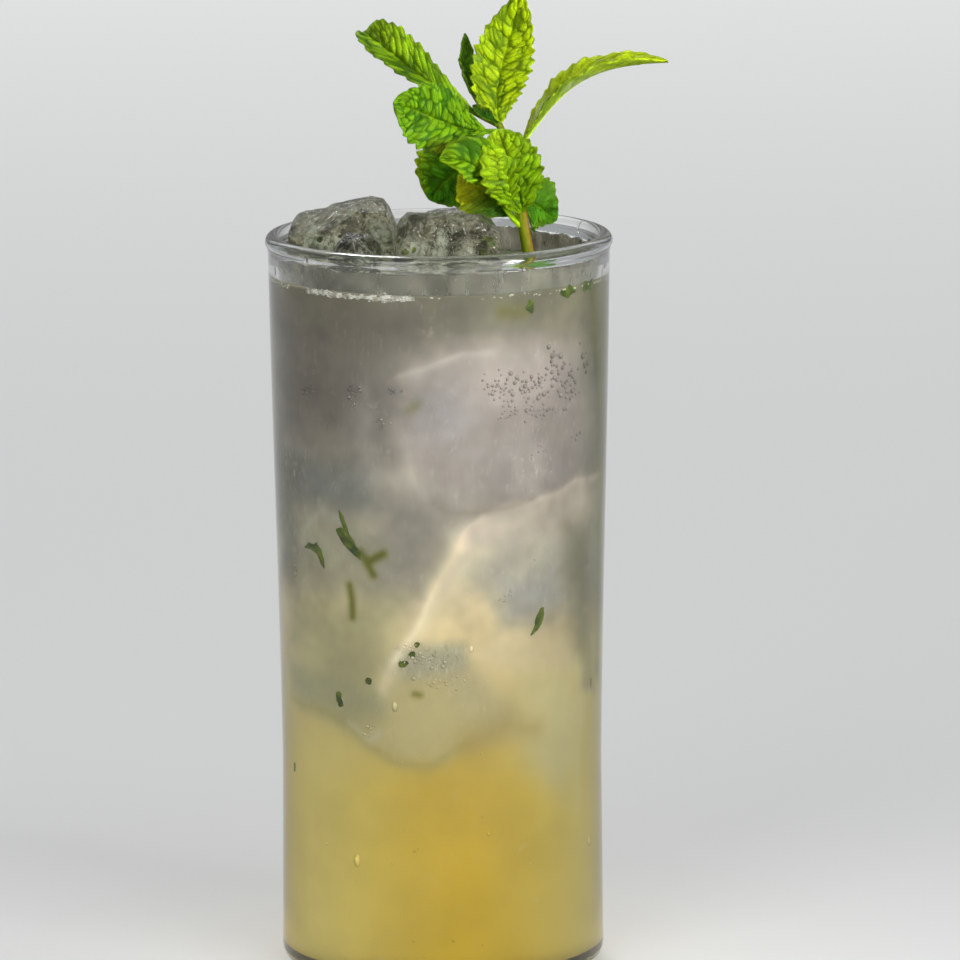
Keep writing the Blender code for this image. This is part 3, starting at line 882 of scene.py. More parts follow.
def dimmed(tree, tint, factor):
    """A colour made darker or lighter by a factor's socket."""
    parts = {"i0": factor, "i1": factor, "i2": factor}
    grey = new_node(tree, "ShaderNodeCombineColor", None, **parts).outputs[0]
    return mixed(tree, 1.0, tint, grey, "MULTIPLY")


def eased(tree, value, low, high, low_out=0.0, high_out=1.0):
    """A value mapped smoothly from one range to another."""
    settings = {"interpolation_type": "SMOOTHSTEP"}
    inputs = {"i0": value, "i1": low, "i2": high, "i3": low_out, "i4": high_out}
    return new_node(tree, "ShaderNodeMapRange", settings, **inputs).outputs[0]


def noise_value(tree, coordinates, scale, detail=3.0, roughness=0.55):
    """The value of a Noise Texture on some coordinates."""
    inputs = {"Vector": coordinates, "Scale": scale, "Detail": detail, "Roughness": roughness}
    return new_node(tree, "ShaderNodeTexNoise", None, **inputs).outputs["Fac"]


def bumped(tree, height, strength, distance):
    """The normal that a height gives through a Bump node."""
    inputs = {"Strength": strength, "Distance": distance, "Height": height}
    return new_node(tree, "ShaderNodeBump", None, **inputs).outputs[0]


def painted(tree, name, output="Color"):
    """The colour, or the value with output Fac, that is painted on the mesh's points."""
    return new_node(tree, "ShaderNodeAttribute", {"attribute_name": name}).outputs[output]


def own_coordinates(tree):
    """The piece's Object coordinates."""
    return tree.nodes.new("ShaderNodeTexCoord").outputs["Object"]


def stretched(tree, coordinates, scale):
    """Coordinates scaled along each axis."""
    return new_node(tree, "ShaderNodeMapping", None, Vector=coordinates, Scale=scale).outputs[0]


def new_material(name):
    """A material with its Principled shader and its output: (material, tree, shader)."""
    material = bpy.data.materials.new(name)
    material.use_nodes = True
    tree = material.node_tree
    tree.nodes.clear()
    output = tree.nodes.new("ShaderNodeOutputMaterial")
    output.name = "output"
    shader = tree.nodes.new("ShaderNodeBsdfPrincipled")
    tree.links.new(shader.outputs[0], output.inputs[0])
    return material, tree, shader


def mix_shaders(tree, factor, first, second):
    """Puts a mix of two shaders on the material's output."""
    inputs = {"Fac": factor, "i1": first.outputs[0], "i2": second.outputs[0]}
    mix = new_node(tree, "ShaderNodeMixShader", None, **inputs)
    tree.links.new(mix.outputs[0], tree.nodes["output"].inputs[0])


def let_light_through(tree, shader, tint):
    """Lets lamps and soft light pass a clear piece, tinted, while rays from the eye refract."""
    path = tree.nodes.new("ShaderNodeLightPath")
    either = maths(tree, "MAXIMUM", path.outputs["Is Shadow Ray"], path.outputs["Is Diffuse Ray"])
    clear = new_node(tree, "ShaderNodeBsdfTransparent", None, Color=opaque(tint))
    mix_shaders(tree, either, shader, clear)


def glass_material(tint, roughness, ior):
    """Clear polished glass, darker at grazing angles, with faint ripples of the melt."""
    material, tree, shader = new_material("tumbler_glass")
    facing = new_node(tree, "ShaderNodeLayerWeight", None, Blend=0.5).outputs["Facing"]
    place = own_coordinates(tree)
    height = new_node(tree, "ShaderNodeSeparateXYZ", None, Vector=place).outputs["Z"]
    above_base = eased(tree, height, *GLASS_EDGE_HEIGHTS)
    grazing = maths(tree, "MULTIPLY", eased(tree, facing, 0.4, 0.92), above_base)
    fill(
        tree,
        shader,
        Base_Color=mixed(tree, grazing, tint, GLASS_EDGE_TINT),
        Roughness=roughness,
        IOR=ior,
        Transmission_Weight=1.0,
        Normal=bumped(tree, noise_value(tree, place, 55.0, 2.0), 0.06, 0.4 * MM),
    )
    let_light_through(tree, shader, (0.98, 0.99, 0.98))
    return material


def drink_material():
    """The cloudy drink behind the wall: its painted bands and sunk ice, with haze, wisps and frost."""
    material, tree, shader = new_material("hazy_drink")
    place = own_coordinates(tree)
    frost = painted(tree, "frost", "Fac")
    haze = noise_value(tree, place, 60.0, 4.0)
    wisp = noise_value(tree, place, 260.0, 5.0, 0.65)
    speckle = noise_value(tree, stretched(tree, place, (1.0, 1.0, 0.35)), 1500.0, 3.0, 0.7)
    light = maths(tree, "MULTIPLY", eased(tree, speckle, 0.56, 0.74, 0.0, 0.45), frost)
    dark = maths(tree, "MULTIPLY", eased(tree, speckle, 0.44, 0.30, 0.0, 0.35), frost)
    colour = dimmed(tree, painted(tree, "tint"), eased(tree, haze, 0.3, 0.7, 0.93, 1.07))
    colour = mixed(tree, light, colour, linear((226, 222, 206)))
    colour = mixed(tree, dark, colour, linear((70, 70, 56)))
    colour = mixed(tree, eased(tree, wisp, 0.6, 0.78, 0.0, 0.12), colour, linear((224, 216, 198)))
    fill(
        tree,
        shader,
        Base_Color=colour,
        Roughness=0.75,
        IOR=DRINK_REFRACTION,
        Specular_IOR_Level=0.12,
        Subsurface_Weight=0.25,
        Subsurface_Radius=(1.0, 0.9, 0.6),
        Subsurface_Scale=3.0 * MM,
    )
    return material


def surface_material():
    """The drink's own wet top."""
    material, tree, shader = new_material("drink_surface")
    place = own_coordinates(tree)
    cloud = eased(tree, noise_value(tree, place, 180.0, 4.0), 0.3, 0.7)
    fill(
        tree,
        shader,
        Base_Color=mixed(tree, cloud, linear((74, 76, 58)), linear((126, 128, 104))),
        Roughness=0.04,
        IOR=DRINK_REFRACTION,
        Normal=bumped(tree, noise_value(tree, place, 220.0, 2.0), 0.25, 0.4 * MM),
    )
    return material


def ice_material(name, tint, roughness, ior):
    """Wet clear ice: polished where it melts, frosty in patches that also give painted highlights,
    darker in patches of painted shade and uneven tone, with fine ripples.
    """
    material, tree, shader = new_material(name)
    place = own_coordinates(tree)
    patch = noise_value(tree, place, 240.0, 4.0, 0.6)
    fine = noise_value(tree, place, 1100.0, 4.0, 0.7)
    # Painted shade: darker olive patches standing in for the dark seen through the ice, mixed with its
    # uneven tone
    shade_and_tone = mixed(tree, eased(tree, fine, 0.5, 0.42, 0.0, 0.75), tint, linear((74, 70, 46)))
    shade_and_tone = mixed(tree, eased(tree, patch, 0.52, 0.4, 0.0, 0.85), shade_and_tone, linear((48, 46, 24)))
    frosty = maths(tree, "MULTIPLY", eased(tree, patch, 0.47, 0.57), eased(tree, fine, 0.47, 0.55))
    grain = maths(tree, "MULTIPLY_ADD", fine, 0.3, noise_value(tree, place, 420.0, 4.0, 0.6))
    fill(
        tree,
        shader,
        Base_Color=mixed(tree, frosty, shade_and_tone, linear((244, 242, 222))),
        Roughness=maths(tree, "MULTIPLY_ADD", frosty, 0.2, roughness),
        IOR=ior,
        Transmission_Weight=0.95,
        Normal=bumped(tree, grain, 1.0, 1.0 * MM),
    )
    let_light_through(tree, shader, (0.72, 0.75, 0.70))
    return material


def grainy_material(name, grain, tints, values, light):
    """A half clear finish between two tints: frost inside the ice, or foam on the drink."""
    material, tree, shader = new_material(name)
    share = eased(tree, noise_value(tree, own_coordinates(tree), *grain), 0.35, 0.65)
    dark, pale = (linear(tint) for tint in tints)
    fill(tree, shader, Base_Color=mixed(tree, share, dark, pale), **values)
    let_light_through(tree, shader, light)
    return material


def frost_material():
    """White frost in cracks and bubbles inside the ice."""
    tints = ((158, 164, 154), (228, 232, 224))
    values = {"Roughness": 0.4, "Transmission_Weight": 0.55, "IOR": 1.1}
    return grainy_material("ice_frost", (1200.0, 3.0), tints, values, (0.7, 0.72, 0.7))


def foam_material():
    """White foam of tiny bubbles."""
    tints = ((176, 172, 156), (240, 238, 228))
    values = {"Roughness": 0.12, "Transmission_Weight": 0.35, "IOR": WATER_REFRACTION}
    return grainy_material("foam", (900.0, 2.0), tints, values, (0.8, 0.8, 0.78))


def water_material():
    """Clear water in drops."""
    material, tree, shader = new_material("water_drops")
    tint = opaque((0.97, 0.99, 0.98))
    fill(tree, shader, Base_Color=tint, Roughness=0.0, IOR=WATER_REFRACTION, Transmission_Weight=1.0)
    let_light_through(tree, shader, (0.95, 0.96, 0.95))
    return material


def film_material():
    """The thin wet film on the wall: cloudy, with runs down it."""
    material, tree, shader = new_material("wet_film")
    place = own_coordinates(tree)
    streak = noise_value(tree, stretched(tree, place, (1.0, 1.0, 0.22)), 480.0, 5.0, 0.7)
    haze = noise_value(tree, place, 200.0, 4.0)
    pale = eased(tree, streak, 0.56, 0.72, 0.0, 0.6)
    colour = mixed(tree, eased(tree, haze, 0.3, 0.7), linear((112, 109, 92)), linear((164, 160, 144)))
    fill(
        tree,
        shader,
        Base_Color=mixed(tree, pale, colour, linear((216, 212, 198))),
        Roughness=eased(tree, streak, 0.3, 0.7, 0.3, 0.18),
        IOR=WATER_REFRACTION,
        Transmission_Weight=0.7,
        Normal=bumped(tree, streak, 0.3, 0.15 * MM),
    )
    let_light_through(tree, shader, (0.8, 0.8, 0.76))
    return material


def bubble_material():
    """Bubbles on the wall: painted light and shade on their points, a lighter middle, a painted glint
    and a darker outline.
    """
    material, tree, shader = new_material("wall_bubbles")
    grain = noise_value(tree, own_coordinates(tree), 700.0, 1.0)
    colour = dimmed(tree, painted(tree, "tint"), eased(tree, grain, 0.3, 0.7, 0.85, 1.15))
    fill(tree, shader, Base_Color=colour, Roughness=0.15)
    return material


def vein_group():
    """Leaf veins from the leaf's own UV map: the side veins, the midrib and the fine net between."""
    group = bpy.data.node_groups.new("leaf_veins", "ShaderNodeTree")
    sockets = (
        ("Leaf UV", "INPUT", "NodeSocketVector"),
        ("Side Veins", "INPUT", "NodeSocketFloat"),
        ("Slope", "INPUT", "NodeSocketFloat"),
        ("Veins", "OUTPUT", "NodeSocketFloat"),
        ("Net", "OUTPUT", "NodeSocketFloat"),
    )
    for name, way, kind in sockets:
        group.interface.new_socket(name, in_out=way, socket_type=kind)
    leaf_uv, side_veins, slope = group.nodes.new("NodeGroupInput").outputs[:3]
    end = group.nodes.new("NodeGroupOutput")
    parts = new_node(group, "ShaderNodeSeparateXYZ", None, Vector=leaf_uv)
    across = maths(group, "ABSOLUTE", maths(group, "MULTIPLY_ADD", parts.outputs[0], 2.0, -1.0))
    half = maths(group, "MULTIPLY", maths(group, "GREATER_THAN", parts.outputs[0], 0.5), 0.5)
    bend = maths(group, "MULTIPLY", maths(group, "POWER", across, 1.3), slope)
    straight = maths(group, "SUBTRACT", parts.outputs[1], bend)
    turn = maths(group, "MULTIPLY_ADD", straight, side_veins, half)
    from_vein = maths(group, "ABSOLUTE", maths(group, "SUBTRACT", maths(group, "FRACT", turn), 0.5))
    fade = eased(group, across, 1.0, 0.75)
    side = maths(group, "MULTIPLY", eased(group, from_vein, 0.05, 0.0), fade)
    rib = eased(group, across, 0.07, 0.0)
    grid = stretched(group, leaf_uv, (20.0, 52.0, 1.0))
    edges = {"feature": "DISTANCE_TO_EDGE"}
    cells = new_node(group, "ShaderNodeTexVoronoi", edges, Vector=grid, Scale=1.0)
    net = eased(group, cells.outputs["Distance"], 0.12, 0.0)
    fill(group, end, Veins=maths(group, "MAXIMUM", side, rib), Net=net)
    return group


def leaf_material(veins):
    """A fresh mint leaf: painted tints, paler sunk veins, a fine net, a waxy face and some glow."""
    material, tree, shader = new_material("mint_leaf")
    uv = new_node(tree, "ShaderNodeUVMap", {"uv_map": "UVMap"}).outputs[0]
    place = own_coordinates(tree)
    inputs = {"Leaf_UV": uv, "Side_Veins": float(SIDE_VEINS), "Slope": VEIN_SLOPE}
    lines, net = new_node(tree, "ShaderNodeGroup", {"node_tree": veins}, **inputs).outputs[:2]
    under = painted(tree, "underside", "Fac")
    mottle = eased(tree, noise_value(tree, place, 420.0, 4.0), 0.3, 0.7, 0.78, 1.18)
    colour = dimmed(tree, painted(tree, "tint"), mottle)
    colour = mixed(tree, maths(tree, "MULTIPLY", net, 0.3), colour, (0.02, 0.09, 0.001))
    colour = mixed(tree, maths(tree, "MULTIPLY", lines, 0.22), colour, (0.44, 0.56, 0.02))
    colour = mixed(tree, maths(tree, "MULTIPLY", under, 0.3), colour, (0.22, 0.38, 0.03))
    sunk = maths(tree, "MULTIPLY_ADD", lines, -1.0, maths(tree, "MULTIPLY", net, -0.35))
    height = maths(tree, "MULTIPLY_ADD", noise_value(tree, place, 1400.0, 3.0), 0.5, sunk)
    normal = bumped(tree, height, 0.7, 0.22 * MM)
    fill(
        tree,
        shader,
        Base_Color=colour,
        Roughness=eased(tree, noise_value(tree, place, 600.0, 3.0), 0.35, 0.65, 0.3, 0.55),
        IOR=1.4,
        Specular_IOR_Level=0.22,
        Normal=normal,
    )
    glow_tint = mixed(tree, 0.4, colour, (0.55, 0.75, 0.003))
    glow = new_node(tree, "ShaderNodeBsdfTranslucent", None, Color=glow_tint, Normal=normal)
    mix_shaders(tree, 0.3, shader, glow)
    return material


def stem_material():
    """The mint's stem and ribs: painted tints, with fine lines along them."""
    material, tree, shader = new_material("mint_stem")
    lined = stretched(tree, own_coordinates(tree), (1.0, 1.0, 0.12))
    lines = noise_value(tree, lined, 2200.0, 3.0)
    fill(
        tree,
        shader,
        Base_Color=dimmed(tree, painted(tree, "tint"), eased(tree, lines, 0.3, 0.7, 0.8, 1.15)),
        Roughness=0.5,
        Specular_IOR_Level=0.1,
        Subsurface_Weight=0.15,
        Subsurface_Radius=(0.6, 1.0, 0.3),
        Subsurface_Scale=1.0 * MM,
        Normal=bumped(tree, lines, 0.4, 0.15 * MM),
    )
    return material


def fleck_material():
    """Bruised flecks of mint in the drink."""
    material, tree, shader = new_material("mint_flecks")
    patch = eased(tree, noise_value(tree, own_coordinates(tree), 500.0, 3.0), 0.35, 0.65)
    colour = mixed(tree, patch, (0.022, 0.045, 0.001), (0.10, 0.13, 0.002))
    fill(tree, shader, Base_Color=colour, Roughness=0.6, Specular_IOR_Level=0.1)
    return material


def floor_material(tint):
    """A plain pale matt floor."""
    material, tree, shader = new_material("pale_floor")
    fill(tree, shader, Base_Color=opaque(tint), Roughness=0.7)
    return material


def shared_material(name, maker, *values):
    """The named material, made at its first use."""
    return bpy.data.materials.get(name) or maker(*values)


class GlassSettings(PropertyGroup):
    """Sizes and finish of the glass."""

    tint: FloatVectorProperty(
        name="Tint", description="Colour of the glass", subtype="COLOR", size=3, min=0, max=1,
        default=(0.985, 0.995, 0.985),
    )
    roughness: FloatProperty(
        name="Roughness", description="How matt the glass is", subtype="FACTOR", min=0, max=1,
        default=0.01,
    )
    ior: FloatProperty(
        name="Refraction", description="Index of refraction of the glass", min=1, max=2,
        default=1.5,
    )
    steps: IntProperty(name="Steps", description="Faces round the glass", min=24, max=512, default=192)


class DrinkSettings(PropertyGroup):
    """Level and mesh of the drink."""

    level: FloatProperty(
        name="Level", description="Height of the drink's surface", unit="LENGTH", min=0.05,
        max=0.146, default=DRINK_LEVEL,
    )
    meniscus: FloatProperty(
        name="Meniscus", description="How far the surface climbs the wall", unit="LENGTH", min=0,
        max=0.003, default=1.2 * MM,
    )
    steps: IntProperty(name="Steps", description="Faces round the drink", min=24, max=512, default=330)
    # How strongly painted light pales the drink beside its golden middle
    side_light: FloatProperty(
        name="Side tint", description="How pale the drink is beside its golden middle",
        subtype="FACTOR", min=0, max=1, default=0.55,
    )


class IceSettings(PropertyGroup):
    """Finish of the ice."""

    tint: FloatVectorProperty(
        name="Tint", description="Colour of the clear ice", subtype="COLOR", size=3, min=0, max=1,
        default=(0.84, 0.78, 0.57),
    )
    roughness: FloatProperty(
        name="Roughness", description="How matt the clear ice is", subtype="FACTOR", min=0, max=1,
        default=0.03,
    )
    ior: FloatProperty(
        name="Refraction", description="Index of refraction of ice", min=1, max=2, default=1.31,
    )
    cracks: IntProperty(
        name="Cracks", description="Frosty cracks in each cube", min=0, max=40, default=34,
    )
    bubbles: IntProperty(
        name="Bubbles", description="Air bubbles in each cube", min=0, max=400, default=170,
    )


class MintSettings(PropertyGroup):
    """Sizes of the mint."""

    thickness: FloatProperty(
        name="Leaf thickness", description="Thickness of a leaf", unit="LENGTH", min=0.0001,
        max=0.001, default=LEAF_THICKNESS,
    )
    quilt: FloatProperty(
        name="Quilt", description="How far a leaf swells between its veins", unit="LENGTH", min=0,
        max=0.001, default=QUILT_HEIGHT,
    )


class StageSettings(PropertyGroup):
    """Floor and light."""

    floor_tint: FloatVectorProperty(
        name="Floor", description="Colour of the floor", subtype="COLOR", size=3, min=0, max=1,
        default=(0.78, 0.78, 0.77),
    )
    floor_size: FloatProperty(
        name="Floor size", description="Width of the floor", unit="LENGTH", min=1, max=30,
        default=12.0,
    )
    key_power: FloatProperty(
        name="Side light", description="Power of the softboxes at the sides", subtype="POWER",
        min=0, max=200, default=1.35,
    )
    back_power: FloatProperty(
        name="Back light", description="Power of the softbox behind", subtype="POWER", min=0,
        max=200, default=0.06,
    )
    leaf_power: FloatProperty(
        name="Mint light", description="Power of the narrow lamp on the mint", subtype="POWER",
        min=0, max=200, default=0.125,
    )
    overhead_power: FloatProperty(
        name="Overhead light", description="Power of the wide lamp above the floor",
        subtype="POWER", min=0, max=500, default=42.0,
    )
    sky: FloatProperty(
        name="Soft light", description="Strength of the light from all round", min=0, max=5,
        default=0.36,
    )


class COCKTAIL_OT_glass(Operator):
    """Model the straight tumbler with its rolled rim and flat floor"""

    bl_idname = "cocktail.glass"
    bl_label = "Glass"

    def execute(self, context):
        values = context.scene.cocktail_glass
        bead_height = GLASS_HEIGHT - BEAD_RADIUS
        bore_top = bead_height - 1.4 * BEAD_RADIUS
        corner_height = FLOOR_HEIGHT + FLOOR_CORNER_RADIUS
        corner_place = bore_radius(corner_height) - FLOOR_CORNER_RADIUS
        inner = spread(corner_height, bore_top, WALL_RING_STEP)[1:]
        outer = spread(HEEL_RADIUS, bore_top, WALL_RING_STEP)[1:]
        profile = [(radius, FLOOR_HEIGHT) for radius in (0.0, *GLASS_FLOOR_RINGS)]
        profile += arc((corner_place, corner_height), FLOOR_CORNER_RADIUS, -90, 0, 10)
        profile += [(bore_radius(height), height) for height in inner]
        profile += arc((BEAD_RING_RADIUS, bead_height), BEAD_RADIUS, 215, -35, 22)
        profile += [(wall_radius(height), height) for height in reversed(outer)]
        profile += arc((wall_radius(0) - HEEL_RADIUS, HEEL_RADIUS), HEEL_RADIUS, 0, -90, 10)
        profile += [(GLASS_FLOOR_RINGS[0], 0.0), (0.0, 0.0)]
        glass = turned_piece("tumbler", profile, values.steps)
        finish = (values.tint, values.roughness, values.ior)
        material = shared_material("tumbler_glass", glass_material, *finish)
        finish_piece(glass, "glass", [material])
        return {"FINISHED"}


def ice_facets(cube):
    """Planes that shave flat facets off a block: each a direction and how far out it stands."""
    chance = random.Random(round(sum(cube["edges"]) * 10))
    half = Vector(cube["edges"]) * MM / 2
    facets = []
    for _ in range(ICE_FACETS):
        way = Vector([chance.choice((-1, 1)) * chance.uniform(0.15, 1.0) for _ in range(3)])
        way.normalize()
        reach = sum(abs(x * h) ** FACET_ROUNDNESS for x, h in zip(way, half)) ** (1 / FACET_ROUNDNESS)
        facets.append((way, reach - chance.uniform(0.2, 1.0) * ICE_FACET_BITE))
    return facets


def block_shape(cube, cuts, grow, fine):
    """A worn block of ice as a new object at its place, with facets, chips and ripples if it is fine."""
    start_modelling()
    bpy.ops.mesh.primitive_cube_add(size=2.0, location=(0, 0, 0))
    block = bpy.context.object
    with edit_mode():
        bpy.ops.mesh.subdivide(number_cuts=cuts)
    half = Vector(cube["edges"]) * MM / 2
    square = cube["squareness"]
    seed = half * 1000
    facets = ice_facets(cube)
    place = Matrix.LocRotScale(
        Vector(cube["centre"]) * MM, Euler([math.radians(angle) for angle in cube["turn"]]), None
    )
    for vert in block.data.vertices:
        unit = vert.co / sum(abs(x) ** square for x in vert.co) ** (1 / square)
        outward = Vector([math.copysign(abs(x) ** 3, x) / h for x, h in zip(unit, half)]).normalized()
        rounded = Vector([x * h for x, h in zip(unit, half)])
        dent = noise.noise(rounded / ICE_DENT_SIZE + seed) * ICE_DENT
        if fine:
            dent -= abs(noise.noise(rounded / ICE_RIPPLE_SIZE + seed)) * ICE_RIPPLE
            dent -= abs(noise.noise(rounded / ICE_GRAIN_SIZE + seed)) * ICE_GRAIN
        narrowed = 1 - cube["taper"] * (unit.z + 1) / 2
        rounded.x *= narrowed
        rounded.y *= narrowed
        spot = rounded + outward * (dent + grow)
        if fine:
            for way, reach in facets:
                beyond = spot.dot(way) - reach
                if beyond > 0:
                    spot -= way * beyond
            for x, y, z, size in cube["chips"]:
                away = spot - Vector((x, y, z)) * MM
                if away.length < size * MM:
                    spot -= outward * (size * MM - away.length) * 0.7
        vert.co = place @ spot
    return block


class COCKTAIL_OT_ice(Operator):
    """Model the four worn ice cubes that stand out of the drink"""

    bl_idname = "cocktail.ice"
    bl_label = "Ice cubes"

    def execute(self, context):
        values = context.scene.cocktail_ice
        shaded = tuple(part * SHADED_ICE for part in values.tint)
        finish = (values.roughness, values.ior)
        for name, cube in ICE_CUBES.items():
            block = block_shape(cube, ICE_CUTS, 0.0, True)
            block.name = name + "_clear"
            bpy.ops.object.shade_smooth()
            look, tint = ("wet_ice_shaded", shaded) if name == SHADED_CUBE else ("wet_ice", values.tint)
            material = shared_material(look, ice_material, look, tint, *finish)
            finish_piece(block, name, [material])
        return {"FINISHED"}


def scatter_copies(name, shape, places):
    """One piece made of a copy of the shape at each place; the shape is then removed."""
    points = mesh_points(shape.data)
    faces = [tuple(face.vertices) for face in shape.data.polygons]
    all_points = []
    all_faces = []
    for place in places:
        start = len(all_points) * len(points)
        matrix = np.array(place)
        all_points.append(points @ matrix[:3, :3].T + matrix[:3, 3])
        all_faces += [tuple(index + start for index in face) for face in faces]
    bpy.data.objects.remove(shape)
    mesh = bpy.data.meshes.new(name)
    mesh.from_pydata(np.concatenate(all_points).tolist(), [], all_faces)
    mesh.shade_smooth()
    piece = bpy.data.objects.new(name, mesh)
    bpy.context.scene.collection.objects.link(piece)
    return piece


def small_ball(segments, rings):
    """A ball of unit radius with few faces, to be copied."""
    start_modelling()
    bpy.ops.mesh.primitive_uv_sphere_add(segments=segments, ring_count=rings, location=(0, 0, 0))
    return bpy.context.object


class COCKTAIL_OT_ice_inside(Operator):
    """Model the frosty cracks and the air bubbles inside the ice cubes"""

    bl_idname = "cocktail.ice_inside"
    bl_label = "Cracks and bubbles in the ice"

    def execute(self, context):
        values = context.scene.cocktail_ice
        chance = random.Random(SEED)
        balls = []
        flakes = []
        for cube in ICE_CUBES.values():
            half = Vector(cube["edges"]) * MM / 2
            turn = Euler([math.radians(angle) for angle in cube["turn"]]).to_matrix()
            centre = Vector(cube["centre"]) * MM
            for _ in range(values.bubbles):
                spot = Vector([chance.gauss(0.0, 0.34) for _ in range(3)])
                spot = Vector([max(-0.72, min(0.72, x)) * h for x, h in zip(spot, half)])
                size = chance.uniform(0.08, 0.26) * MM
                place = centre + turn @ spot
                stretch = Vector((size, size, size * chance.uniform(1.0, 2.6)))
                balls.append(Matrix.LocRotScale(place, turn.to_quaternion(), stretch))
            for _ in range(values.cracks):
                spot = Vector([chance.uniform(-0.6, 0.6) * h for h in half])
                size = chance.uniform(0.9, 3.0) * MM
                lean = Euler([chance.uniform(0, math.tau) for _ in range(3)])
                scale = Vector((size, size * chance.uniform(0.4, 0.9), size))
                flakes.append(Matrix.LocRotScale(centre + turn @ spot, lean, scale))
        frost = shared_material("ice_frost", frost_material)
        bubbles = scatter_copies("ice_bubbles", small_ball(8, 5), balls)
        finish_piece(bubbles, None, [frost])
        start_modelling()
        bpy.ops.mesh.primitive_circle_add(vertices=20, fill_type="TRIFAN", location=(0, 0, 0))
        flake = bpy.context.object
        with edit_mode():
            bpy.ops.mesh.subdivide(number_cuts=1)
        for vert in flake.data.vertices:
            reach = 1 + 0.45 * noise.noise(vert.co * 1.7)
            vert.co = vert.co * reach
            vert.co.z = 0.22 * math.sin(vert.co.x * 2.3) + 0.2 * noise.noise(vert.co * 2.1)
        apply_modifier(flake, "SOLIDIFY", thickness=0.02, offset=0.0)
        cracks = scatter_copies("ice_cracks", flake, flakes)
        finish_piece(cracks, None, [frost])
        return {"FINISHED"}


def off_run(across, height, start, end):
    """How far each point lies from the nearest place of a straight run, across and in height."""
    run_x, run_y = end[0] - start[0], end[1] - start[1]
    share = ((across - start[0]) * run_x + (height - start[1]) * run_y) / (run_x**2 + run_y**2)
    share = np.clip(share, 0, 1)
    return across - start[0] - share * run_x, height - start[1] - share * run_y


def polygon_distance(across, height, corners):
    """How far each point lies outside a polygon, negative inside, in mm on the unrolled wall."""
    corners = [(angle * UNROLL, level) for angle, level in corners]
    nearest = np.full(len(across), 1e9)
    inside = np.zeros(len(across), dtype=bool)
    for (ax, ay), (bx, by) in zip(corners, corners[1:] + corners[:1]):
        gap = np.hypot(*off_run(across, height, (ax, ay), (bx, by)))
        nearest = np.minimum(nearest, gap)
        crosses = (ay > height) != (by > height)
        place = ax + (height - ay) * (bx - ax) / (by - ay if by != ay else 1e-9)
        inside ^= crosses & (across < place)
    return np.where(inside, -nearest, nearest)


def line_distance(across, height, points):
    """The distance to a run of points in mm, and whether each point lies on the run's left."""
    points = [(angle * UNROLL, level) for angle, level in points]
    nearest = np.full(len(across), 1e9)
    left = np.zeros(len(across), dtype=bool)
    for start, end in zip(points, points[1:]):
        off_x, off_y = off_run(across, height, start, end)
        gap = np.hypot(off_x, off_y)
        closer = gap < nearest
        nearest = np.where(closer, gap, nearest)
        on_left = (end[0] - start[0]) * off_y - (end[1] - start[1]) * off_x > 0
        left = np.where(closer, on_left, left)
    return nearest, left


def drift(first, second, size):
    """A smooth wandering value between -1 and 1 over two arrays of places."""
    total = np.zeros(len(first))
    for turn, rate in ((0.7, 1.0), (2.1, 1.31), (3.9, 0.83), (5.3, 1.9)):
        run = first * math.cos(turn) + second * math.sin(turn)
        total += np.sin(run / size * rate * 2 * math.pi + turn * 7.0)
    return total / 4


def blend_in(colours, tint, cover):
    """Covers the colours with a tint, as far as each point's share of cover goes."""
    colours += (np.array(tint) - colours) * cover[:, None]


def band_colours(height, degrees, side_light):
    """The drink's bands of colour, a little wavy, and made paler by painted light at the sides of their
    golden middle.
    """
    levels = [level for level, tint in DRINK_BANDS]
    wave = drift(degrees * UNROLL, height, 34.0)
    waved = height + 3.0 * wave * smooth_step(35, 55, height) * smooth_step(134, 124, height)
    parts = zip(*(tint for level, tint in DRINK_BANDS))
    colours = np.stack([np.interp(waved, levels, part) for part in parts], 1)
    # Painted light: the bands grow paler towards the sides of the golden middle
    side = (1 - np.cos(np.radians((degrees - 8) * 3))) / 2
    side = side_light * side * (0.35 + 0.65 * smooth_step(70, 40, height))
    blend_in(colours, DRINK_SIDE_LIGHT_TINT, side)
    return colours


def paint_sunk_ice(colours, frost, height, degrees, back):
    """Paints the sunk ice and the blurred mint on the front, or mirrored and lower on the back."""
    turned = np.where(degrees > 0, 180 - degrees, -180 - degrees) if back else degrees
    level = height + BACK_SHIFT if back else height
    side_on = smooth_step(96, 84, np.abs(turned))
    across = turned * UNROLL
    wavy_across = across + 0.7 * drift(across, height, 15.0)
    wavy_level = level + 0.5 * drift(height, across, 12.0)
    for name, corners, tint, strength, soft, frosty in SUNK_FACES:
        if not (back and name in FRONT_EDGE_LIGHT_AND_SHADE):
            outside = polygon_distance(wavy_across, wavy_level, corners)
            cover = strength * smooth_step(soft, -soft, outside) * side_on
            blend_in(colours, tint, cover)
            frost += (frosty - frost) * cover
    for name, run, tint, strength, left_fade, right_fade in SUNK_LINES:
        if not (back and name in FRONT_EDGE_LIGHT_AND_SHADE):
            gap, left = line_distance(wavy_across, wavy_level, run)
            fade = LINE_SPREAD * np.where(left, left_fade, right_fade)
            cover = LINE_STRENGTH * strength * np.exp(-(gap / fade) ** 1.5) * side_on
            blend_in(colours, tint, cover)
    for run, width, strength in BLURRED_MINT:
        gap, left = line_distance(across, level, run)
        cover = strength * np.exp(-((gap / width) ** 2)) * side_on
        blend_in(colours, BLURRED_MINT_TINT, cover)


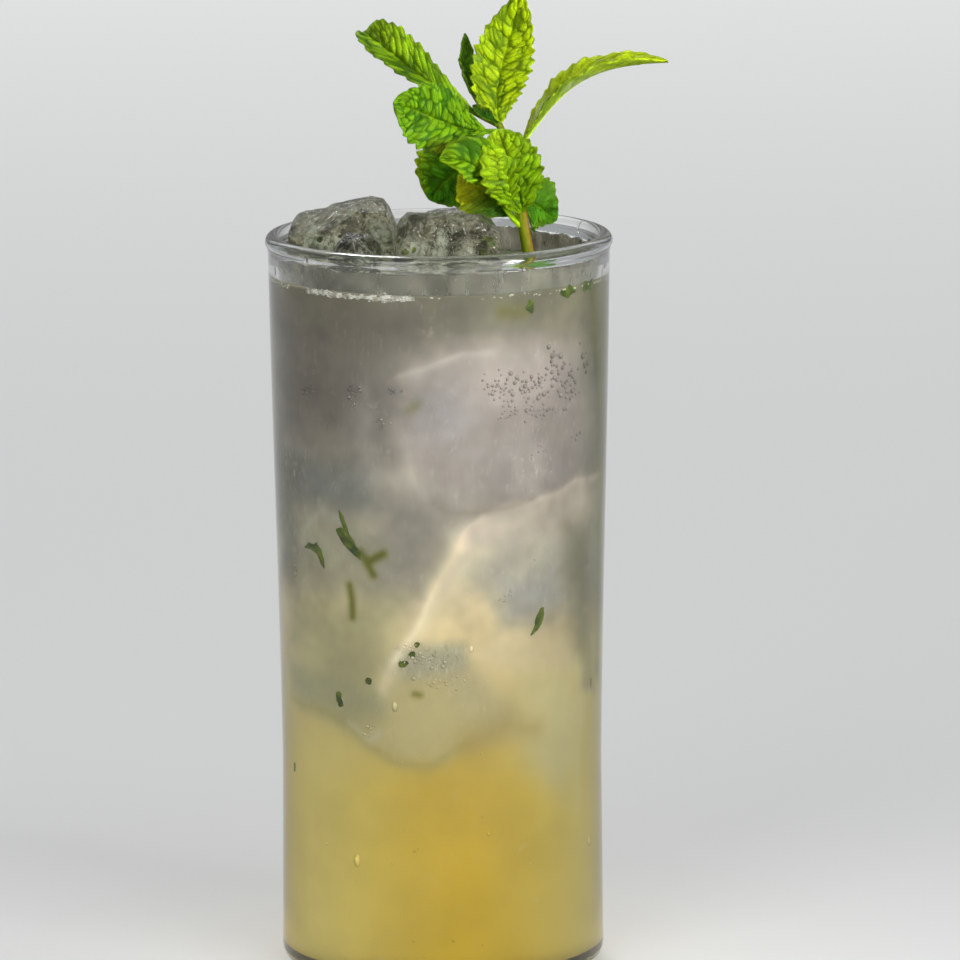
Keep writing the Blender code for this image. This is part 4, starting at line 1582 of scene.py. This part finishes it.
def drink_colours(points, side_light):
    """The drink's colours with the ice and mint sunk in it, and its frost, at some points."""
    height = points[:, 2] * 1000
    degrees = np.degrees(np.arctan2(points[:, 0], -points[:, 1]))
    colours = band_colours(height, degrees, side_light)
    frost = 0.12 * smooth_step(50, 80, height)
    for back in (False, True):
        paint_sunk_ice(colours, frost, height, degrees, back)
    places = [Vector(point) for point in points]
    cloud = [noise.noise(place * 130) * 0.11 + noise.noise(place * 400) * 0.06 for place in places]
    colours *= (1 + np.array(cloud) * smooth_step(52, 80, height))[:, None]
    right = smooth_step(*RIGHT_SHADE_FROM, degrees) * smooth_step(*RIGHT_SHADE_TO, degrees)
    depth = RIGHT_SHADE_LOW + (RIGHT_SHADE_HIGH - RIGHT_SHADE_LOW) * smooth_step(62, 78, height)
    colours *= (1 - right * depth)[:, None]
    shares = np.clip(colours / 255, 0, 1)
    linear_shares = np.where(shares <= 0.04045, shares / 12.92, ((shares + 0.055) / 1.055) ** 2.4)
    return linear_shares, np.clip(frost, 0, 1)


class COCKTAIL_OT_ice_mint(Operator):
    """Model the bits of mint frozen just inside the ice"""

    bl_idname = "cocktail.ice_mint"
    bl_label = "Mint in the ice"

    def execute(self, context):
        chance = random.Random(SEED + 4)
        places = []
        for name, spot, size in ICE_MINT:
            cube = bpy.data.objects[name + "_clear"]
            found, near, outward, index = cube.closest_point_on_mesh(Vector(spot) * MM)
            spin = Euler((0.0, 0.0, chance.uniform(0, math.tau))).to_quaternion()
            lean = outward.to_track_quat("Z", "Y") @ spin
            scale = Vector((size, size * chance.uniform(0.5, 0.8), size)) * MM
            places.append(Matrix.LocRotScale(near - outward * ICE_MINT_DEPTH, lean, scale))
        start_modelling()
        grid = {"x_subdivisions": 12, "y_subdivisions": 10}
        bpy.ops.mesh.primitive_grid_add(size=2.0, location=(0, 0, 0), **grid)
        bit = context.object
        for vert in bit.data.vertices:
            reach = 0.8 + 0.35 * noise.noise(vert.co * 1.9) + 0.2 * noise.noise(vert.co * 5.0)
            away = max(abs(vert.co.x), abs(vert.co.y))
            round_off = away / max(vert.co.length, 0.001)
            vert.co = vert.co * reach * round_off
            vert.co.z = 0.16 * noise.noise(vert.co * 2.6)
        apply_modifier(bit, "SOLIDIFY", thickness=0.12, offset=0.0)
        bits = scatter_copies("ice_mint", bit, places)
        finish_piece(bits, None, [shared_material("mint_flecks", fleck_material)])
        return {"FINISHED"}


class COCKTAIL_OT_drink(Operator):
    """Model the cloudy drink with its meniscus, cut round the ice, and paint the ice sunk in it"""

    bl_idname = "cocktail.drink"
    bl_label = "Drink"

    def execute(self, context):
        values = context.scene.cocktail_drink
        level = values.level
        corner_radius = FLOOR_CORNER_RADIUS + DRINK_REACH
        corner_height = FLOOR_HEIGHT + FLOOR_CORNER_RADIUS
        corner_place = bore_radius(corner_height) - FLOOR_CORNER_RADIUS
        edge = bore_radius(level) + DRINK_REACH
        flat = spread(0.0, edge - MENISCUS_WIDTH, SURFACE_RING_STEP)
        profile = [(radius, level) for radius in flat]
        for share in (0.25, 0.5, 0.7, 0.85, 0.95, 1.0):
            climb = values.meniscus * share**3
            profile.append((edge - MENISCUS_WIDTH * (1 - share), level + climb))
        side = spread(corner_height, level + values.meniscus, DRINK_ROW)[:-1]
        profile += [(bore_radius(height) + DRINK_REACH, height) for height in reversed(side)]
        profile += arc((corner_place, corner_height), corner_radius, 0, -90, 10)[1:]
        bottom = FLOOR_HEIGHT - DRINK_REACH
        profile += [(DRINK_FLOOR_RING, bottom), (0.0, bottom)]
        drink = turned_piece("drink_body", profile, values.steps)
        for cube in ICE_CUBES.values():
            pocket = block_shape(cube, POCKET_CUTS, -POCKET_SHRINK, False)
            apply_modifier(drink, "BOOLEAN", operation="DIFFERENCE", object=pocket, solver="MANIFOLD")
            bpy.data.objects.remove(pocket)
        colours, frost = drink_colours(mesh_points(drink.data), values.side_light)
        set_colours(drink.data, "tint", colours)
        set_values(drink.data, "frost", frost)
        body = shared_material("hazy_drink", drink_material)
        surface = shared_material("drink_surface", surface_material)
        finish_piece(drink, "drink", [body, surface])
        for face in drink.data.polygons:
            top = face.center.z > level - 0.3 * MM and face.normal.z > 0.3
            face.material_index = 1 if top else 0
        return {"FINISHED"}


def spine_point(spine, share):
    """The point at a share of the way along a leaf's spine, and the way that it runs there."""
    a, b, c, d = (Vector(point) * MM for point in spine)
    rest = 1 - share
    place = a * rest**3 + b * 3 * rest**2 * share + c * 3 * rest * share**2 + d * share**3
    way = (b - a) * 3 * rest**2 + (c - b) * 6 * rest * share + (d - c) * 3 * share**2
    return place, way.normalized()


def leaf_frame(leaf, share):
    """The spine's point, and the leaf's across and upward ways there."""
    place, way = spine_point(leaf["spine"], share)
    face = Vector(leaf["face"]).normalized()
    up = (face - way * face.dot(way)).normalized()
    return place, way.cross(up), up


def tooth_share(leaf, half, share):
    """How far out the leaf's edge stands between the notches of its teeth, from 0 to 1."""
    stalk = leaf.get("stalks", USUAL_STALKS)[half]
    blade = max(0.0, (share - stalk) / (1 - stalk)) * round(leaf["teeth"] * FINE_TEETH)
    along = blade % 1.0
    size = 1.0 + 0.45 * noise.noise(Vector((int(blade) * 3.7, half * 5.1, leaf["widest"] * 9)))
    if along < TOOTH_TIP_PLACE:
        return size * (along / TOOTH_TIP_PLACE) ** 0.8
    return size * ((1 - along) / (1 - TOOTH_TIP_PLACE)) ** 1.3


def leaf_outline(leaf, half, share, toothed):
    """How much of its half width that half of the leaf has at a place: a stalk, then an oval blade."""
    stalk = leaf.get("stalks", USUAL_STALKS)[half]
    blade = (share - stalk) / (1 - stalk)
    if blade <= 0:
        return 0.0
    power = math.log(0.5) / math.log(leaf["widest"])
    outline = math.sin(math.pi * min(blade, 1.0) ** power) ** OUTLINE_FULLNESS
    return outline * (1 - TOOTH_DEPTH * (1 - toothed))


def leaf_cell(leaf, share, across):
    """How far up a cell of the quilted face a place lies: 0 in the valleys between, 1 on its top."""
    wide = leaf["halves"][0] * MM
    run = (share - VEIN_SLOPE * abs(across) ** 1.3) * USUAL_LEAF_LENGTH / CELL_LENGTH
    spot = Vector((run, across * wide / CELL_WIDTH, wide * 5000))
    nearest = noise.voronoi(spot)[0]
    return min(1.0, (nearest[1] - nearest[0]) / 0.3) ** 0.8


def leaf_relief(share, across, spot, quilt, cell):
    """How far the leaf's face swells between its veins, sinks along them, and crinkles."""
    half = 0.5 if across > 0 else 0.0
    along = (share - VEIN_SLOPE * abs(across) ** 1.3) * SIDE_VEINS + half
    from_vein = abs(along % 1.0 - 0.5) * 2
    swell = math.sin(math.pi / 2 * min(1.0, from_vein * 1.25)) ** 0.8
    fade = max(0.0, 1 - abs(across) ** 6) * min(1.0, share * 5)
    groove = math.exp(-((across / 0.08) ** 2))
    crinkle = noise.noise(spot / CRINKLE_SIZE) * CRINKLE
    height = quilt * (swell - 0.5) + CELL_HEIGHT * (cell - 0.5) + crinkle
    return height * fade * (1 - groove) - GROOVE_DEPTH * groove * min(1.0, share * 5)


def blended(first, second, share):
    """A colour part of the way from the first to the second."""
    return tuple(a + (b - a) * share for a, b in zip(first, second))


def leaf_tint(leaf, share, across, cell):
    """The painted colour of a leaf at a place: its two tints, paler edges, its patches, painted shade in
    the valleys between its cells and a painted highlight on their tops.
    """
    cloud = 0.5 + 0.5 * noise.noise(Vector((share * 4.2, across * 1.6, leaf["halves"][0])))
    tint = blended(leaf["tints"][1], leaf["tints"][0], cloud)
    tint = blended(tint, LIME, 0.35 * max(0.0, abs(across) - 0.8) / 0.2)
    for centre, side, size, patch, strength in leaf["patches"]:
        gap = math.hypot((share - centre) / size, (across - side) / (size * 3))
        tint = blended(tint, patch, strength * math.exp(-gap * gap))
    # Painted shade darkens the valleys between the cells, and a painted highlight brightens the cells'
    # tops
    valley = leaf.get("valley", USUAL_VALLEY_SHADE)
    top = blended(tint, leaf["tints"][0], 0.5 * max(0.0, cell - 0.6) / 0.4)
    return blended(blended(tint, SHADE, valley), top, 0.15 + 0.85 * cell)


def model_leaf(name, leaf, thickness, quilt):
    """A leaf: a grid laid along its spine, quilted between its veins, toothed, and given a thickness."""
    rows = round(leaf["teeth"] * FINE_TEETH) * LEAF_ROWS_PER_TOOTH
    start_modelling()
    grid = {"x_subdivisions": LEAF_COLUMNS, "y_subdivisions": rows}
    bpy.ops.mesh.primitive_grid_add(size=2.0, location=(0, 0, 0), **grid)
    piece = bpy.context.object
    piece.name = name
    mesh = piece.data
    fold = math.radians(leaf["fold"])
    tints = []
    for vert in mesh.vertices:
        across = math.copysign(abs(vert.co.x) ** 0.9, vert.co.x)
        share = (vert.co.y + 1) / 2
        half = 1 if across > 0 else 0
        outer = max(0.0, (abs(across) - 0.72) / 0.28)
        toothed = 0.5 + (tooth_share(leaf, half, share) - 0.5) * outer * outer
        outline = leaf_outline(leaf, half, share, toothed)
        stalk = STALK_HALF_WIDTH * (1 - share)
        tip = TIP_HALF_WIDTH * min(1.0, (1 - share) * 30)
        half_width = max(leaf["halves"][half] * MM * outline, stalk, tip)
        place, side, up = leaf_frame(leaf, share)
        wave = EDGE_WAVE * math.sin(2 * math.pi * EDGE_WAVES * share + across) * across**2
        ruffle = RUFFLE * math.sin(2 * math.pi * RUFFLES * share + across * 2.5) * abs(across) ** 3
        lift = math.sin(fold) * abs(across) + leaf["cup"] * abs(across) ** CUP_POWER + wave + ruffle
        spot = place + side * (across * math.cos(fold) * half_width) + up * (lift * half_width)
        cell = leaf_cell(leaf, share, across)
        relief = leaf_relief(share, across, spot, quilt, cell) * min(1.0, half_width / FULL_WIDTH)
        vert.co = spot + up * relief
        tints.append(leaf_tint(leaf, share, across, cell))
    faces_up = sum(face.normal.dot(leaf_frame(leaf, 0.5)[2]) for face in mesh.polygons) > 0
    if not faces_up:
        mesh.flip_normals()
    set_colours(mesh, "tint", tints)
    count = len(mesh.vertices)
    apply_modifier(piece, "SOLIDIFY", thickness=thickness, offset=0.0)
    set_values(mesh, "underside", np.arange(len(mesh.vertices)) >= count)
    bpy.ops.object.shade_smooth()
    return piece


class COCKTAIL_OT_mint_leaves(Operator):
    """Model the mint's toothed and quilted leaves"""

    bl_idname = "cocktail.mint_leaves"
    bl_label = "Mint leaves"

    def execute(self, context):
        values = context.scene.cocktail_mint
        veins = bpy.data.node_groups.get("leaf_veins") or vein_group()
        material = shared_material("mint_leaf", leaf_material, veins)
        for name, leaf in MINT_LEAVES.items():
            piece = model_leaf("mint_leaf_" + name, leaf, values.thickness, values.quilt)
            finish_piece(piece, "mint_sprig", [material])
        return {"FINISHED"}


def tube_piece(name, points, radii):
    """A round tube through the points, drawn as a curve and made a mesh."""
    start_modelling()
    bpy.ops.curve.primitive_nurbs_path_add(location=(0, 0, 0))
    tube = bpy.context.object
    tube.name = name
    curve = tube.data
    curve.splines.clear()
    spline = curve.splines.new("POLY")
    spline.points.add(len(points) - 1)
    for point, place, radius in zip(spline.points, points, radii):
        point.co = (*place, 1.0)
        point.radius = radius
    curve.bevel_depth = 1.0
    curve.bevel_resolution = 4
    curve.use_fill_caps = True
    bpy.ops.object.convert(target="MESH")
    tube = bpy.context.object
    with edit_mode():
        close_seams()
    bpy.ops.object.shade_smooth()
    return tube


def smooth_route(points, count):
    """Evenly shared points on a smooth run through the given ones."""
    places = [Vector(point) * MM for point in points]
    run = []
    for index in range(count):
        along = index / (count - 1) * (len(places) - 1)
        first = min(int(along), len(places) - 2)
        share = along - first
        before = places[max(first - 1, 0)]
        start = places[first]
        end = places[first + 1]
        after = places[min(first + 2, len(places) - 1)]
        cubic = (after - before + (start - end) * 3) * share**3
        square = (before * 2 - start * 5 + end * 4 - after) * share**2
        run.append(start + ((end - before) * share + square + cubic) * 0.5)
    return run


class COCKTAIL_OT_mint_stem(Operator):
    """Model the mint's stem with the ribs that carry its leaves"""

    bl_idname = "cocktail.mint_stem"
    bl_label = "Mint stem"

    def execute(self, context):
        route = smooth_route(STEM_ROUTE, STEM_POINTS)
        radii = []
        for index in range(STEM_POINTS):
            share = index / (STEM_POINTS - 1)
            gaps = [(share - joint) / STEM_JOINT_LENGTH for joint in STEM_JOINTS]
            swell = sum(STEM_JOINT_SWELL * math.exp(-(gap**2)) for gap in gaps)
            radii.append(STEM_RADIUS * (1 - (1 - STEM_TIP_SHARE) * share) * (1 + swell))
        stem = tube_piece("mint_stem", route, radii)
        tints = []
        for vert in stem.data.vertices:
            nearest = min(route, key=lambda place: (place - vert.co).length_squared)
            away = (vert.co - nearest).normalized()
            height = vert.co.z * 1000
            rusty = max(0.0, away.x * 0.8 - away.y * 0.35) * (1 if height < RUST_TOP else 0.25)
            tint = blended(*STEM_TINTS, 0.5 + 0.5 * noise.noise(vert.co * 300))
            tint = blended(tint, STEM_RUST, min(0.85, rusty * 1.1))
            tints.append(blended(tint, FRESH, 0.2 * max(0.0, -away.y)))
        set_colours(stem.data, "tint", tints)
        material = shared_material("mint_stem", stem_material)
        finish_piece(stem, "mint_sprig", [material])
        for name, leaf in MINT_LEAVES.items():
            points = []
            radii = []
            thick = MIDRIB_RADIUS * leaf.get("rib", USUAL_RIB)
            for index in range(MIDRIB_POINTS):
                along = index / (MIDRIB_POINTS - 1)
                share = MIDRIB_SHARE * along
                place, side, up = leaf_frame(leaf, share)
                points.append(place - up * MIDRIB_DROP * min(1.0, share * 4))
                radii.append(thick * (1 - MIDRIB_TAPER * along))
            rib = tube_piece("mint_rib_" + name, points, radii)
            base = blended(leaf["tints"][0], FRESH, 0.6)
            set_colours(rib.data, "tint", [base] * len(rib.data.vertices))
            finish_piece(rib, "mint_sprig", [material])
        return {"FINISHED"}


def wall_place(degrees, spot, scale):
    """The place of a copied shape that stands at an angle from the front, its own -Y outwards."""
    turn = Matrix.Rotation(math.radians(degrees), 3, "Z").to_quaternion()
    return Matrix.LocRotScale(spot, turn, scale)


class COCKTAIL_OT_wall_bubbles(Operator):
    """Model the bubbles that cling to the inside of the wall under the surface"""

    bl_idname = "cocktail.wall_bubbles"
    bl_label = "Bubbles on the wall"

    def execute(self, context):
        chance = random.Random(SEED + 1)
        places = []
        taken = []
        for degrees, height, wide, tall, count, small, large in BUBBLE_PATCHES:
            for _ in range(count):
                angle = degrees + chance.gauss(0, 0.55) * wide
                level = height + chance.gauss(0, 0.55) * tall
                size = BUBBLE_GROWTH * (small + (large - small) * chance.random() ** 1.8)
                spot = on_wall(angle, level * MM, DRINK_REACH)
                if any((spot - other).length < (size + reach) * 0.9 * MM for other, reach in taken):
                    continue
                taken.append((spot, size))
                places.append(wall_place(angle, spot, Vector((size, size, size)) * MM))
        for degrees, height, size, stretch in SINGLE_BUBBLES:
            spot = on_wall(degrees, height * MM, 0.0)
            scale = Vector((size, size * 0.6, size * stretch)) * MM
            places.append(wall_place(degrees, spot, scale))
        ball = small_ball(10, 8)
        shades = []
        # Painted light on each bubble: lighter in the middle that faces out and towards the top, a
        # painted glint, and painted shade round its outline
        for vert in ball.data.vertices:
            light = max(0.0, -vert.co.y) ** 2.5
            glint = max(0.0, Vector(BUBBLE_GLINT_WAY).normalized().dot(vert.co)) ** 6
            shades.append(0.5 + 0.3 * light + 0.35 * glint + 0.15 * vert.co.z)
        bubbles = scatter_copies("wall_bubbles", ball, places)
        spots = np.array([place.translation for place in places])
        around = drink_colours(spots, context.scene.cocktail_drink.side_light)[0]
        shades = np.array(shades)[:, None]
        paler = 0.35 * smooth_step(122 * MM, 117 * MM, spots[:, 2])
        tints = [np.minimum((shades + more) * colour, 0.9) for colour, more in zip(around, paler)]
        set_colours(bubbles.data, "tint", np.concatenate(tints))
        finish_piece(bubbles, None, [shared_material("wall_bubbles", bubble_material)])
        return {"FINISHED"}


class COCKTAIL_OT_mint_flecks(Operator):
    """Model the flecks of mint that lie against the wall"""

    bl_idname = "cocktail.mint_flecks"
    bl_label = "Flecks of mint"

    def execute(self, context):
        flecks = []
        for index, corners in enumerate(MINT_FLECKS):
            form = bmesh.new()
            flat = [Vector((angle * UNROLL, level)) for angle, level in corners]
            middle = sum(flat, Vector((0, 0))) / len(flat)
            grown = []
            for start, end in zip(flat, flat[1:] + flat[:1]):
                for share in (0.18, 0.5, 0.82):
                    spot = start.lerp(end, share)
                    wander = noise.noise(Vector((spot.x * 1.3, spot.y * 1.3, index)))
                    growth = FLECK_GROWTH * (1 + FLECK_RAGGEDNESS * wander)
                    grown.append(spot + (spot - middle).normalized() * growth)
            spots = [on_wall(spot.x / UNROLL, spot.y * MM, DRINK_REACH) for spot in grown]
            form.faces.new([form.verts.new(spot) for spot in spots])
            mesh = bpy.data.meshes.new("fleck")
            form.to_mesh(mesh)
            form.free()
            piece = bpy.data.objects.new("fleck", mesh)
            context.scene.collection.objects.link(piece)
            flecks.append(piece)
        start_modelling()
        for piece in flecks:
            piece.select_set(True)
        context.view_layer.objects.active = flecks[0]
        bpy.ops.object.join()
        piece = context.object
        piece.name = "mint_flecks"
        with edit_mode():
            bpy.ops.mesh.quads_convert_to_tris()
            bpy.ops.mesh.subdivide(number_cuts=3)
            bpy.ops.mesh.normals_make_consistent(inside=False)
        for vert in piece.data.vertices:
            angle = math.degrees(math.atan2(vert.co.x, -vert.co.y))
            ruffle = 0.5 + 0.5 * noise.noise(vert.co * 900)
            vert.co = on_wall(angle, vert.co.z, DRINK_REACH + 0.04 * MM + 0.12 * MM * ruffle)
        apply_modifier(piece, "SOLIDIFY", thickness=FLECK_DEPTH, offset=-1.0)
        bpy.ops.object.shade_smooth()
        finish_piece(piece, None, [shared_material("mint_flecks", fleck_material)])
        return {"FINISHED"}


class COCKTAIL_OT_wall_film(Operator):
    """Model the hazy film that the drink leaves on the wall above its surface"""

    bl_idname = "cocktail.wall_film"
    bl_label = "Film on the wall"

    def execute(self, context):
        level = context.scene.cocktail_drink.level
        heights = spread(level + 0.6 * MM, FILM_TOP, 0.4 * MM)
        inner = [(bore_radius(height) - 0.16 * MM, height) for height in heights[1:-1]]
        outer = [(bore_radius(height) - 0.03 * MM, height) for height in reversed(heights)]
        profile = inner + outer + inner[:1]
        film = turned_piece("wall_film", profile, FILM_STEPS)
        for vert in film.data.vertices:
            ragged = noise.noise(vert.co * 240) * 0.9 * MM + noise.noise(vert.co * 900) * 0.4 * MM
            share = (vert.co.z - level) / (FILM_TOP - level)
            vert.co.z += ragged * max(0.0, share) ** 2
        finish_piece(film, None, [shared_material("wet_film", film_material)])
        return {"FINISHED"}


class COCKTAIL_OT_froth(Operator):
    """Model the line of small bubbles where the drink's surface meets the wall and the ice"""

    bl_idname = "cocktail.froth"
    bl_label = "Froth"

    def execute(self, context):
        chance = random.Random(SEED + 2)
        level = context.scene.cocktail_drink.level
        places = []
        for start, end, count in FROTH_RUNS:
            for _ in range(count):
                angle = chance.uniform(start, end)
                size = chance.uniform(0.10, 0.30) * MM
                inward = chance.uniform(-0.12, 0.1) * MM
                band = 0.45 + 0.3 * noise.noise(Vector((angle * 0.15, 0.5, 0.5)))
                height = level + 0.45 * MM + chance.gauss(0, 0.5) * band * MM
                spot = on_wall(angle, height, -inward)
                flat = Vector((size * chance.uniform(1.0, 1.8), size, size * 0.7))
                places.append(wall_place(angle, spot, flat))
        froth = scatter_copies("froth", small_ball(8, 5), places)
        finish_piece(froth, None, [shared_material("foam", foam_material)])
        return {"FINISHED"}


class COCKTAIL_OT_water_drops(Operator):
    """Model the drops of water on the rim, on the wall above the drink and on the ice"""

    bl_idname = "cocktail.water_drops"
    bl_label = "Drops of water"

    def execute(self, context):
        chance = random.Random(SEED + 3)
        places = []
        for _ in range(WALL_DROPS):
            angle = chance.uniform(0, 360)
            height = chance.uniform(*WALL_DROP_HEIGHTS) * MM
            size = chance.uniform(0.12, 0.42) * MM
            spot = on_wall(angle, height, -0.02 * MM)
            scale = Vector((size, size * 0.5, size * chance.uniform(1.0, 2.6)))
            places.append(wall_place(angle, spot, scale))
        for angle, size in RIM_DROPS:
            turn = math.radians(angle)
            radius = BEAD_RING_RADIUS + BEAD_RADIUS * 0.92
            spot = Vector((radius * math.sin(turn), -radius * math.cos(turn), RIM_DROP_HEIGHT))
            scale = Vector((size, size * 0.45, size * 1.2)) * MM
            places.append(wall_place(angle, spot, scale))
        for name in ICE_CUBES:
            mesh = bpy.data.objects[name + "_clear"].data
            upper = [vert.index for vert in mesh.vertices if vert.co.z > ICE_DROPS_FROM]
            for index in chance.sample(upper, ICE_DROPS):
                vert = mesh.vertices[index]
                size = chance.uniform(0.1, 0.34) * MM
                lean = vert.normal.to_track_quat("-Y", "Z")
                places.append(Matrix.LocRotScale(vert.co, lean, Vector((size, size * 0.5, size))))
        drops = scatter_copies("water_drops", small_ball(10, 6), places)
        finish_piece(drops, None, [shared_material("water_drops", water_material)])
        return {"FINISHED"}


def softbox(name, spot, aim, size, power, spread_degrees):
    """A soft rectangular lamp at a spot, turned towards an aim."""
    start_modelling()
    bpy.ops.object.light_add(type="AREA", location=spot)
    lamp = bpy.context.object
    lamp.name = name
    lamp.data.shape = "RECTANGLE"
    lamp.data.size = size[0]
    lamp.data.size_y = size[1]
    lamp.data.energy = power
    lamp.data.spread = math.radians(spread_degrees)
    lamp.rotation_euler = (Vector(aim) - Vector(spot)).to_track_quat("-Z", "Y").to_euler()
    return lamp


# Lamps: name, spot, aim, size, the setting that holds the power, and the spread in degrees
LAMPS = (
    ("left_softbox", (-0.5, -0.85, 0.5), (0, 0, 0.1), (0.5, 0.7), "key_power", 120),
    ("right_softbox", (0.6, -0.7, 0.5), (0, 0, 0.1), (0.5, 0.7), "key_power", 120),
    ("front_softbox", (0.1, -1.2, 1.1), (0, 0, 0.1), (1.0, 0.7), "key_power", 120),
    ("back_lamp", (-0.15, 0.5, 0.8), (0.01, 0, 0.185), (0.2, 0.2), "back_power", 16),
    ("overhead_softbox", (0.0, 3.0, 2.6), (0.0, 2.4, 0.0), (4.0, 3.0), "overhead_power", 120),
    ("mint_lamp", (0.72, -0.55, 0.34), (0.005, 0, 0.186), (0.16, 0.16), "leaf_power", 14),
)
SKY_TINT = (0.94, 0.97, 1.0)

# The camera, fitted to the photo's rim, surface and base
CAMERA_AIM = Vector((0.0, 0.0, 0.095))
CAMERA_DISTANCE = 1.4
CAMERA_ELEVATION = math.radians(10.48)
CAMERA_ROLL = math.radians(-0.37)
FOCAL_PIXELS = 6976.0
CENTRE_PIXEL = (440.4, 493.3)
PICTURE_PIXELS = 960.0
SENSOR_WIDTH = 36.0


def make_camera():
    """The camera at the photo's viewing angle."""
    start_modelling()
    bpy.ops.object.camera_add()
    camera = bpy.context.object
    camera.name = "photo_camera"
    back = Vector((0, -math.cos(CAMERA_ELEVATION), math.sin(CAMERA_ELEVATION)))
    right = Vector((1, 0, 0))
    up = back.cross(right)
    level = Matrix((right, up, back)).transposed()
    turn = Matrix.Rotation(CAMERA_ROLL, 3, back) @ level
    spot = CAMERA_AIM + back * CAMERA_DISTANCE
    camera.matrix_world = Matrix.LocRotScale(spot, turn.to_quaternion(), None)
    camera.data.sensor_width = SENSOR_WIDTH
    camera.data.lens = FOCAL_PIXELS / PICTURE_PIXELS * SENSOR_WIDTH
    camera.data.shift_x = (PICTURE_PIXELS / 2 - CENTRE_PIXEL[0]) / PICTURE_PIXELS
    camera.data.shift_y = (CENTRE_PIXEL[1] - PICTURE_PIXELS / 2) / PICTURE_PIXELS
    bpy.context.scene.camera = camera


class COCKTAIL_OT_stage(Operator):
    """Set up the pale floor, the soft lamps and the camera"""

    bl_idname = "cocktail.stage"
    bl_label = "Stage"

    def execute(self, context):
        values = context.scene.cocktail_stage
        start_modelling()
        bpy.ops.mesh.primitive_plane_add(size=values.floor_size, location=(0, 0, 0))
        floor = context.object
        floor.name = "floor"
        floor.data.materials.append(floor_material(values.floor_tint))
        for name, spot, aim, size, power, angle in LAMPS:
            softbox(name, spot, aim, size, getattr(values, power), angle)
        world = bpy.data.worlds.new("soft_light")
        world.use_nodes = True
        sky = world.node_tree.nodes["Background"]
        sky.inputs[0].default_value = (*SKY_TINT, 1.0)
        sky.inputs[1].default_value = values.sky
        context.scene.world = world
        context.scene.view_settings.view_transform = "Standard"
        make_camera()
        return {"FINISHED"}


class COCKTAIL_PT_panel(Panel):
    """Lists the cocktail's pieces"""

    bl_idname = "COCKTAIL_PT_panel"
    bl_label = "Cocktail"
    bl_space_type = "VIEW_3D"
    bl_region_type = "UI"
    bl_category = "Cocktail"

    def draw(self, context):
        layout = self.layout
        for step in STEPS:
            layout.operator(step.bl_idname)
        for name in SETTINGS:
            group = getattr(context.scene, name)
            box = layout.box()
            for key in group.__annotations__:
                box.prop(group, key)


STEPS = (
    COCKTAIL_OT_glass,
    COCKTAIL_OT_ice,
    COCKTAIL_OT_ice_inside,
    COCKTAIL_OT_ice_mint,
    COCKTAIL_OT_drink,
    COCKTAIL_OT_mint_leaves,
    COCKTAIL_OT_mint_stem,
    COCKTAIL_OT_wall_bubbles,
    COCKTAIL_OT_mint_flecks,
    COCKTAIL_OT_wall_film,
    COCKTAIL_OT_froth,
    COCKTAIL_OT_water_drops,
    COCKTAIL_OT_stage,
)
SETTINGS = {
    "cocktail_glass": GlassSettings,
    "cocktail_drink": DrinkSettings,
    "cocktail_ice": IceSettings,
    "cocktail_mint": MintSettings,
    "cocktail_stage": StageSettings,
}


def register():
    for group in SETTINGS.values():
        bpy.utils.register_class(group)
    for name, group in SETTINGS.items():
        setattr(bpy.types.Scene, name, PointerProperty(type=group))
    for step in STEPS:
        bpy.utils.register_class(step)
    bpy.utils.register_class(COCKTAIL_PT_panel)


def unregister():
    bpy.utils.unregister_class(COCKTAIL_PT_panel)
    for step in reversed(STEPS):
        bpy.utils.unregister_class(step)
    for name, group in SETTINGS.items():
        delattr(bpy.types.Scene, name)
        bpy.utils.unregister_class(group)


def main():
    """Makes every piece in order."""
    register()
    for step in STEPS:
        group, name = step.bl_idname.split(".")
        getattr(getattr(bpy.ops, group), name)()
    bpy.context.view_layer.update()


if __name__ == "__main__":
    main()
